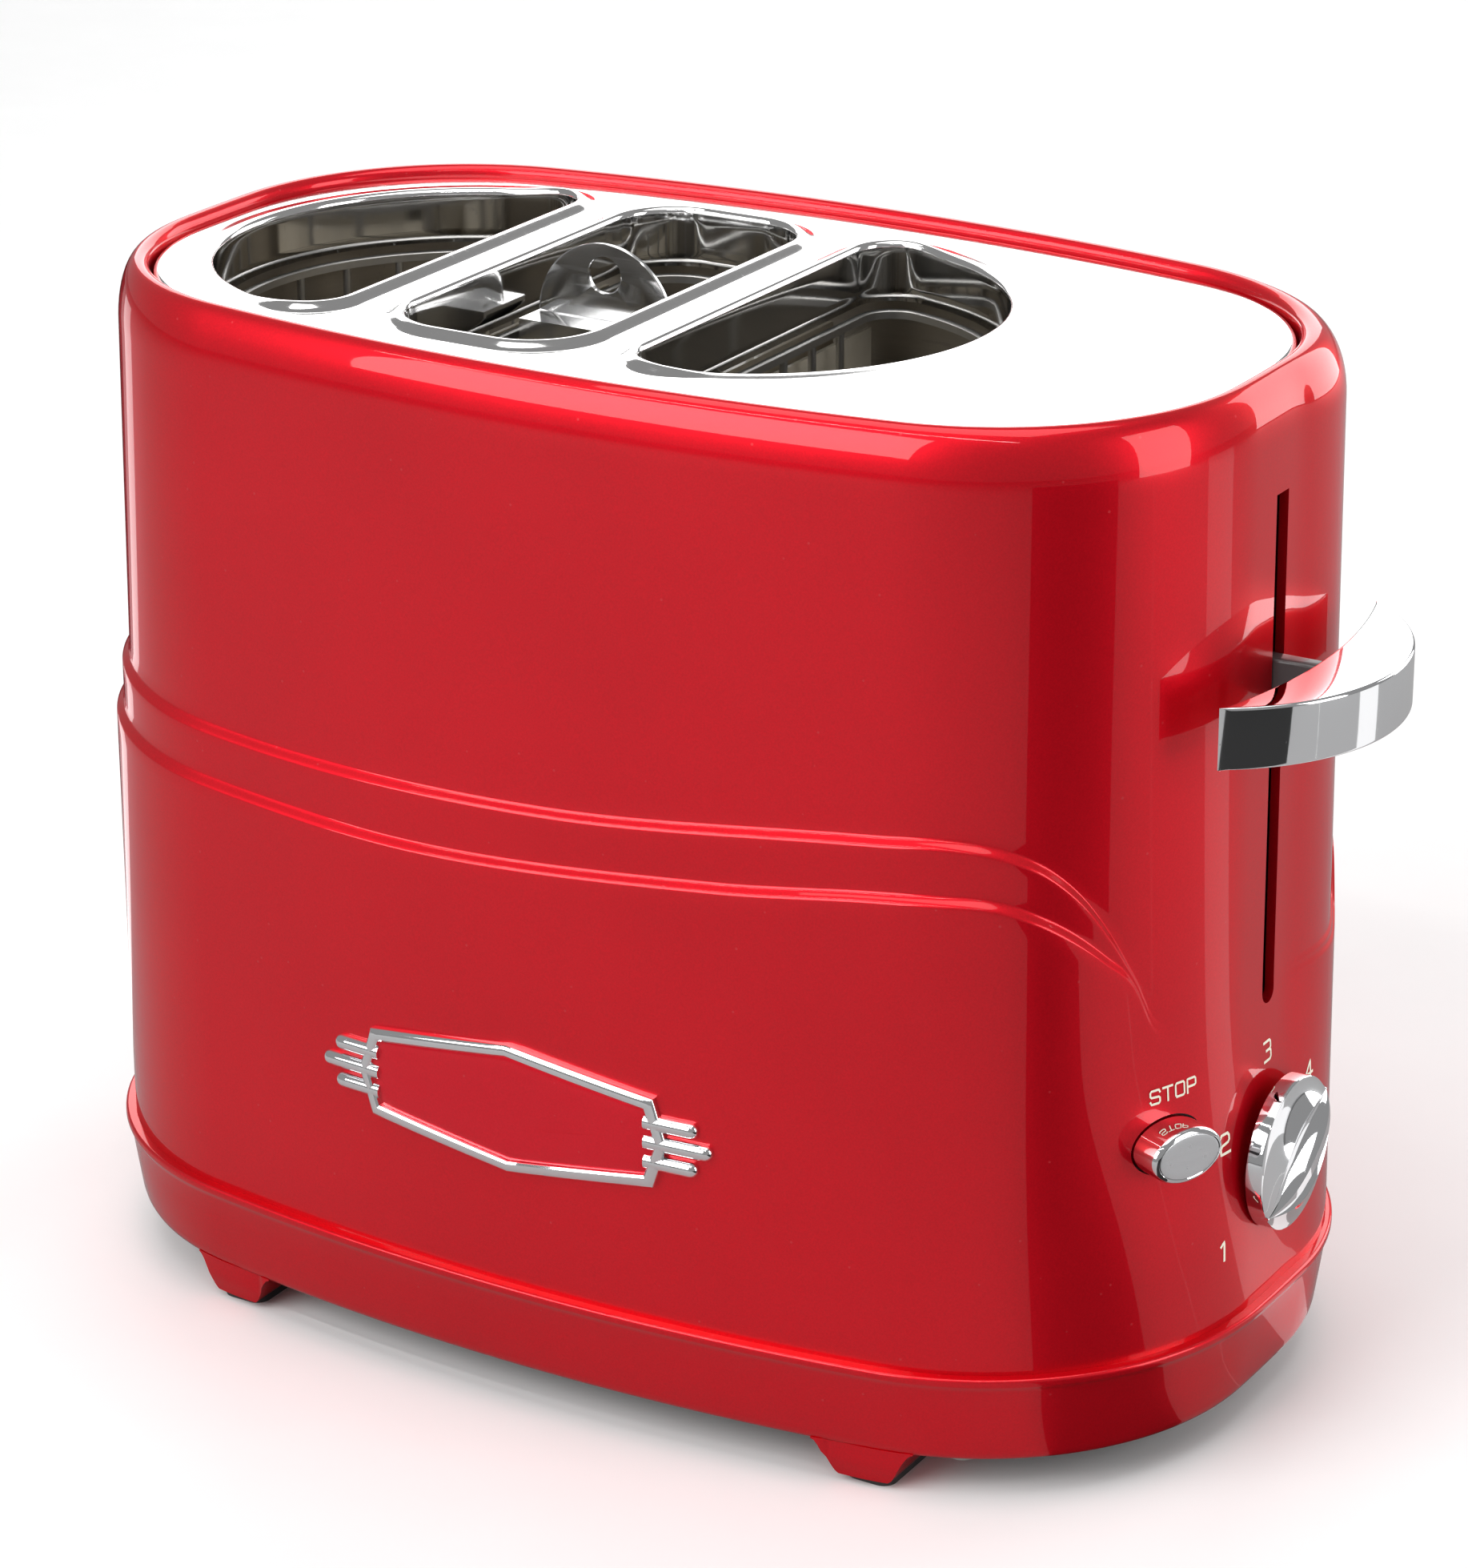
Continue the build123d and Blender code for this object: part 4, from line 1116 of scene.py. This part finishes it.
FRAME = [(0.0, -0.4), (0.0, 1.1), (-0.12, 1.45), (-0.45, 1.75), (-1.3, 2.05), (-2.1, 1.95), (-2.5, 1.6),
         (-2.65, 1.1), (-2.7, -0.4)]
PANEL = [(-2.6, -0.3), (-2.6, 0.9), (-3.0, 1.1), (-5.0, 1.25), (-8.0, 1.32), (-9.9, 1.34)]
frame_rows = [badge_row(g, p) for g, p in FRAME]
badge = new_piece("badge_frame_ring", *loft(frame_rows, closed_along=True), sharp=30, merge=0)
dress(badge, "casing", chrome, ["badge_frame"])
panel_rows = [badge_row(g, p) for g, p in PANEL]
panel = new_piece("badge_panel_enamel", *loft(panel_rows, caps=True), sharp=30, merge=0)
dress(panel, "casing", red_enamel, ["badge_panel"])

BARS = ((-4.4, 45.0), (0.0, 48.3), (4.4, 45.0))
BAR_R = 1.75


def bar(sx, dz, tip):
    """A round bar along the wall with a domed tip."""
    z = BADGE_Z + dz
    reach = tip - BAR_R
    lengths = [(33.0, BAR_R)] + [(x, BAR_R) for x in np.linspace(36, reach, 6)]
    lengths += [(reach + BAR_R * sin(a), BAR_R * cos(a)) for a in np.radians((20, 40, 58, 74, 86))]
    rows = []
    for x, r in lengths:
        y = front_y(x, z, 0.35)
        rows.append([(sx * x, y - r * cos(a), z + r * sin(a)) for a in np.linspace(0, 2 * pi, 20, False)])
    return loft(rows, caps=True)


six_bars = [bar(sx, dz, tip) for sx in (-1, 1) for dz, tip in BARS]
bars = new_piece("badge_bars", *gather(six_bars), sharp=50, merge=0)
dress(bars, "casing", chrome, ["badge_frame"])

# %% [markdown]
# ## Printed marks
#
# The dial's numbers and the word on the stop button are printed in cream. Each character is
# drawn as strokes on a small grid, and every stroke becomes a thin ribbon that lies on the
# curved wall, a few hundredths of a millimetre above the paint.

# %% Characters as strokes
GLYPHS = {
    "1": [[(0.25, 0.8), (0.5, 1.0), (0.5, 0.0)]],
    "2": [[(0, 0.85), (0.12, 1), (0.6, 1), (0.72, 0.85), (0.72, 0.62), (0.6, 0.52), (0.12, 0.44), (0, 0.3),
           (0, 0), (0.74, 0)]],
    "3": [[(0, 1), (0.6, 1), (0.72, 0.88), (0.72, 0.62), (0.6, 0.52), (0.25, 0.52)],
          [(0.6, 0.52), (0.72, 0.42), (0.72, 0.12), (0.6, 0), (0, 0)]],
    "4": [[(0.55, 0), (0.55, 1), (0, 0.32), (0.78, 0.32)]],
    "5": [[(0.7, 1), (0.04, 1), (0.04, 0.56), (0.6, 0.56), (0.72, 0.44), (0.72, 0.12), (0.6, 0), (0, 0)]],
    "S": [[(0.95, 0.84), (0.85, 1), (0.12, 1), (0, 0.88), (0, 0.62), (0.12, 0.52), (0.83, 0.48), (0.95, 0.38),
           (0.95, 0.12), (0.83, 0), (0.1, 0), (0, 0.16)]],
    "T": [[(0, 1), (0.95, 1)], [(0.475, 1), (0.475, 0)]],
    "O": [[(0.12, 0), (0, 0.12), (0, 0.88), (0.12, 1), (0.83, 1), (0.95, 0.88), (0.95, 0.12), (0.83, 0),
           (0.12, 0)]],
    "P": [[(0, 0), (0, 1), (0.83, 1), (0.95, 0.88), (0.95, 0.52), (0.83, 0.42), (0, 0.42)]],
}


def end_wall(y, z, proud=0.05):
    """A point on the casing near the lever end, at a place along Y and a height."""
    corner = abs(y) - CORNER_Y
    inset = 4.0
    for _ in range(4):
        r = CORNER_R - inset
        if corner > 0:
            x = CORNER_X + sqrt(r * r - corner * corner)
        else:
            x = HALF_LENGTH - inset - y * y / 1156
        inset = wall_inset(x, z, step_lines(x), y)
    sideways = y - (CORNER_Y if y > 0 else -CORNER_Y) if corner > 0 else 0
    normal = Vector((x - CORNER_X, sideways, 0)).normalized()
    return Vector((x, y, z)) + normal * proud


def stroke_mesh(text, y0, z0, height, width, gap, points, faces):
    """Add ribbons for a word whose left foot is at (y0, z0), measured along the wall."""
    cursor = 0.0
    half = width / 2
    for letter in text:
        for stroke in GLYPHS[letter]:
            path = [Vector((cursor + p[0] * height, p[1] * height)) for p in stroke]
            dense = []
            for p, q in zip(path, path[1:]):
                steps = max(1, int((q - p).length / 0.5))
                dense += [p.lerp(q, k / steps) for k in range(steps)]
            dense.append(path[-1])
            rows = []
            for i, p in enumerate(dense):
                ahead = (dense[min(i + 1, len(dense) - 1)] - dense[max(i - 1, 0)]).normalized()
                across = Vector((-ahead.y, ahead.x)) * half
                extend = ahead * half * (1 if i == len(dense) - 1 else -1 if i == 0 else 0)
                rows.append([p + extend + across, p + extend - across])
            first = len(points)
            for row in rows:
                for q in row:
                    y = y0 + q.x * (0.82 if text == "STOP" else 1.0)
                    points.append(tuple(end_wall(y, z0 + q.y)))
            for i in range(len(rows) - 1):
                a = first + 2 * i
                faces.append((a, a + 1, a + 3, a + 2))
        cursor += height * gap


marks_points, marks_faces = [], []
NUMBERS = (("1", -24.2, 44.4), ("2", -22.0, 67.8), ("3", -2.4, 81.0), ("4", 15.8, 69.6), ("5", 16.6, 43.6))
for digit, y0, z0 in NUMBERS:
    stroke_mesh(digit, y0, z0, 4.2, 0.62, 1.0, marks_points, marks_faces)
stroke_mesh("STOP", -40.0, 84.6, 2.9, 0.5, 1.3, marks_points, marks_faces)
marks = new_piece("printed_marks", marks_points, marks_faces, merge=0, recalc=False)
if sum(p.normal.x for p in marks.data.polygons) < 0:
    marks.data.flip_normals()
dress(marks, "casing", print_cream)

# %% [markdown]
# ## The tong loop
#
# A rounded red strap on the far end holds the serving tongs. It is swept round a path that
# leaves the wall, runs parallel to it and comes back.

# %% Tong loop
LOOP_LOW, LOOP_HIGH, LOOP_HALF = 175.0, 198.0, 25.0


def strap_path():
    """Outside line of the strap in plan, from one foot to the other."""
    path = [(-131.0, -LOOP_HALF), (-132.9, -LOOP_HALF)]
    path += arc(-132.9, -LOOP_HALF + 7.0, 7.0, radians(270), radians(180), 12)
    path += run((-139.9, -LOOP_HALF + 7.0), (-139.9, LOOP_HALF - 7.0), 14)
    path += arc(-132.9, LOOP_HALF - 7.0, 7.0, radians(180), radians(90), 12)
    return path + [(-132.9, LOOP_HALF), (-131.0, LOOP_HALF)]


strap_rows = []
path = strap_path()
for i, (x, y) in enumerate(path):
    ahead = Vector(path[min(i + 1, len(path) - 1)]) - Vector(path[max(i - 1, 0)])
    inward = Vector((ahead.y, -ahead.x)).normalized()
    if inward.dot(Vector((-128, 0)) - Vector((x, y))) < 0:
        inward = -inward
    row = []
    for depth, edge in ((0.0, 5.0), (0.35, 2.6), (1.0, 0.9), (1.7, 0.0), (2.1, 0.0)):
        row.append((depth, LOOP_LOW + edge))
    row = row + [(d, LOOP_LOW + LOOP_HIGH - z) for d, z in reversed(row)]
    strap_rows.append([(x + inward.x * d, y + inward.y * d, z) for d, z in row])
strap = new_piece("tong_strap", *loft(strap_rows, caps=True), sharp=50)
dress(strap, "casing", candy_red, ["tong_loop"])

# %% [markdown]
# ## Screws under the base
#
# Four pan-head screws with cross recesses hold the bottom plate. One screw is modelled and a
# geometry tree sets it on four points.

# %% Screws
BOSS_X, BOSS_Y, SKIRT_BOTTOM = 98.0, 63.3, 9.2


def screw_model():
    """Pan head, cross recess and shank, head down, at the drawing's origin."""
    section = [(0.0, -1.0), (0.45, -1.0), (0.7, -1.75), (1.8, -1.8), (2.8, -1.4), (3.3, -0.7), (3.4, 0.0),
               (1.5, 0.0), (1.5, 9.0), (0.0, 10.0)]
    rows = []
    for k in range(24):
        a = 2 * pi * k / 24
        notch = 0.9 if k % 6 == 0 else 0.0
        row = []
        for r, z in section:
            sunk = notch if 0.6 < r < 2 and z < -1.5 else 0
            row.append((r * cos(a), r * sin(a), z + sunk))
        rows.append(row)
    return loft(rows, closed_round=False, closed_along=True)


points, faces = screw_model()
master = new_piece("screw_master", [(x - CASING_SHIFT, y, z) for x, y, z in points], faces)
tree, given = modifier_tree("parts_on_points", {"Finish": "material"})
source = tree.node("GeometryNodeObjectInfo", {}, {"Object": master}, out="Geometry")
placed = tree.node("GeometryNodeInstanceOnPoints", {}, {"Points": given["Geometry"], "Instance": source})
PARTS = finish_tree(tree, placed, given["Finish"])
screw_spots = [(sx * BOSS_X, sy * BOSS_Y, SKIRT_BOTTOM) for sx in (-1, 1) for sy in (-1, 1)]
screws = grow("base_screws", points_object(screw_spots), PARTS, {"Finish": zinc})
bpy.data.objects.remove(master)
dress(screws, "casing", zinc, ["bottom_screws"])

# %% [markdown]
# ## Finishes for the parts that stay as they are
#
# The chassis, heaters, carriage, tray and electrics keep their CAD shapes. Each takes the
# finish named by its material slot in the record.

# %% Dress the CAD nodes
BY_SLOT = {
    "red_casing": candy_red, "mirror_steel": mirror_steel, "bright_chrome": chrome, "red_enamel": red_enamel,
    "chassis_steel": sheet_steel, "heat_tinted_steel": tinted_steel, "guard_wire": wire_steel,
    "cage_steel": cage_steel, "ground_rod": ground_steel, "screw_zinc": zinc, "tray_steel": tray_metal,
    "mica_board": mica, "heater_alloy": heater_alloy, "brass_bush": brass, "copper_coil": copper,
    "board_green": board_green, "black_plastic": black_plastic, "lead_sleeve": lead_sleeve,
    "dark_stem": dark_enamel, "foot_rubber": foot_rubber,
}
for part in frame["record"]["subparts"]:
    node = NODES[part["node"]]
    node.data.materials.clear()
    node.data.materials.append(BY_SLOT[part["material_slot"]])

# %% [markdown]
# ## Floor, light and camera
#
# Chrome and lacquer show little but their surroundings, so the light matters as much as the
# paint. A pale floor and a bright room surround the toaster, and large soft lights model it.

# %% Floor and room
scene = bpy.context.scene
scene.view_settings.view_transform = "Standard"
floor_mesh = bpy.data.meshes.new("floor")
floor_mesh.from_pydata([(-4, -4, 0), (4, -4, 0), (4, 4, 0), (-4, 4, 0)], [], [(0, 1, 2, 3)])
floor = show("floor", floor_mesh)
pale = Finish("pale_floor")
grain = pale.noise(30.0, 3.0)
floor_shade = pale.mix(grain, (0.90, 0.90, 0.90), (0.93, 0.93, 0.93))
floor.data.materials.append(pale.shader(Base_Color=floor_shade, Roughness=0.6))

world = bpy.data.worlds.new("room")
scene.world = world
world.use_nodes = True
sky = Tree(world.node_tree)
world.node_tree.nodes.clear()
seen = sky.node("ShaderNodeLightPath", out="Is Camera Ray")
background = sky.node("ShaderNodeBackground", {}, {"Color": (1, 1, 1, 1), "Strength": seen * 0.72 + 0.28})
sky.node("ShaderNodeOutputWorld", {}, {"Surface": background})


def panel_light(name, centre, target, size, power, colour=(1, 1, 1)):
    """A soft rectangular light that faces a target; metres."""
    data = bpy.data.lights.new(name, "AREA")
    data.shape, data.size, data.size_y = "RECTANGLE", size[0], size[1]
    data.energy, data.color = power, colour
    lamp = bpy.data.objects.new(name, data)
    scene.collection.objects.link(lamp)
    lamp.location = centre
    lamp.rotation_euler = (Vector(target) - Vector(centre)).to_track_quat("-Z", "Y").to_euler()
    return lamp


# %% Lights
middle = (0.0, 0.0, 0.12)
panel_light("key_front", (-0.5, -1.3, 0.9), middle, (1.3, 0.9), 17)
panel_light("edge_strip", (-0.1, -0.85, 1.3), middle, (2.0, 0.03), 3.5)
panel_light("end_soft", (1.35, 0.12, 0.45), middle, (0.55, 1.0), 6)
panel_light("end_back", (0.55, 1.35, 0.5), middle, (0.8, 1.0), 8)
panel_light("plate_sky", (-0.85, 1.4, 0.8), middle, (1.5, 0.8), 9)
panel_light("top_soft", (0.0, -0.1, 1.5), middle, (1.4, 0.9), 9)

# %% [markdown]
# Seen from above, the upright walls mirror the floor, not the lights. So the long streaks of
# the lacquer and the contrast in the chrome are painted reflections from wedges laid on the
# floor that only reflections see: a grey sheet under everything that darkens the reflected
# floor, dark wedges that paint shade, and glowing wedges that paint highlights.

# %% Wedges on the floor
def wedge(name, centre, start, end, near, far, level, shade, glow=0.0):
    """A flat wedge round a centre, between two directions in degrees, seen only in reflections: a dark one is
    painted shade, a glowing one a painted highlight.
    """
    turns = [radians(start + (end - start) * k / 8) for k in range(9)]
    ring = [(centre[0] + near * cos(a), centre[1] + near * sin(a), level) for a in turns]
    ring += [(centre[0] + far * cos(a), centre[1] + far * sin(a), level) for a in reversed(turns)]
    mesh = bpy.data.meshes.new(name)
    mesh.from_pydata(ring, [], [tuple(range(len(ring)))])
    made = show(name, mesh)
    sheet = Finish(name)
    colour = (shade, shade, shade)
    glowing = {"Emission_Color": (1.0, 1.0, 1.0), "Emission_Strength": glow}
    # The sheet's grey or dark colour is painted shade and its glow a painted highlight, both seen only in
    # reflections.
    dull = sheet.shader(Base_Color=colour, Roughness=0.9, Specular_IOR_Level=0.0, **glowing)
    made.data.materials.append(dull)
    made.visible_camera = made.visible_shadow = made.visible_diffuse = False
    return made


RIGHT_CORNER = (0.0624, -0.0101)
LEFT_CORNER = (-0.0814, -0.0101)
# Painted reflections: a grey sheet for a darker floor, dark wedges of painted shade, glowing wedges of
# painted highlights.
wedge("grey_sheet", (0, 0), 0, 359.9, 0.001, 3.5, 0.001, 0.36)
wedge("dark_band", RIGHT_CORNER, -46, -14, 0.06, 1.6, 0.002, 0.03)
wedge("end_streak", RIGHT_CORNER, 26, 40, 0.06, 1.6, 0.002, 0.7, 0.2)
wedge("left_dark", LEFT_CORNER, 118, 150, 0.06, 1.6, 0.002, 0.02)
wedge("left_streak", LEFT_CORNER, 156, 166, 0.06, 1.6, 0.003, 0.9, 0.6)

# %% Camera
AZIMUTH, ELEVATION, ROLL = radians(31.136), radians(21.444), radians(-0.186)
DISTANCE, LENS = 1.0727, 113.36
target = Vector((-0.0041, 0.0, 0.1162))
back = Vector((sin(AZIMUTH) * cos(ELEVATION), -cos(AZIMUTH) * cos(ELEVATION), sin(ELEVATION)))
right = Vector((cos(AZIMUTH), sin(AZIMUTH), 0))
up = back.cross(right)
tilted_right = right * cos(ROLL) + up * sin(ROLL)
tilted_up = up * cos(ROLL) - right * sin(ROLL)
camera_data = bpy.data.cameras.new("camera")
camera_data.lens, camera_data.sensor_width = LENS, 36.0
camera = bpy.data.objects.new("camera", camera_data)
scene.collection.objects.link(camera)
turn = Matrix((tilted_right, tilted_up, back)).transposed()
camera.matrix_world = Matrix.Translation(target + back * DISTANCE) @ turn.to_4x4()
scene.camera = camera
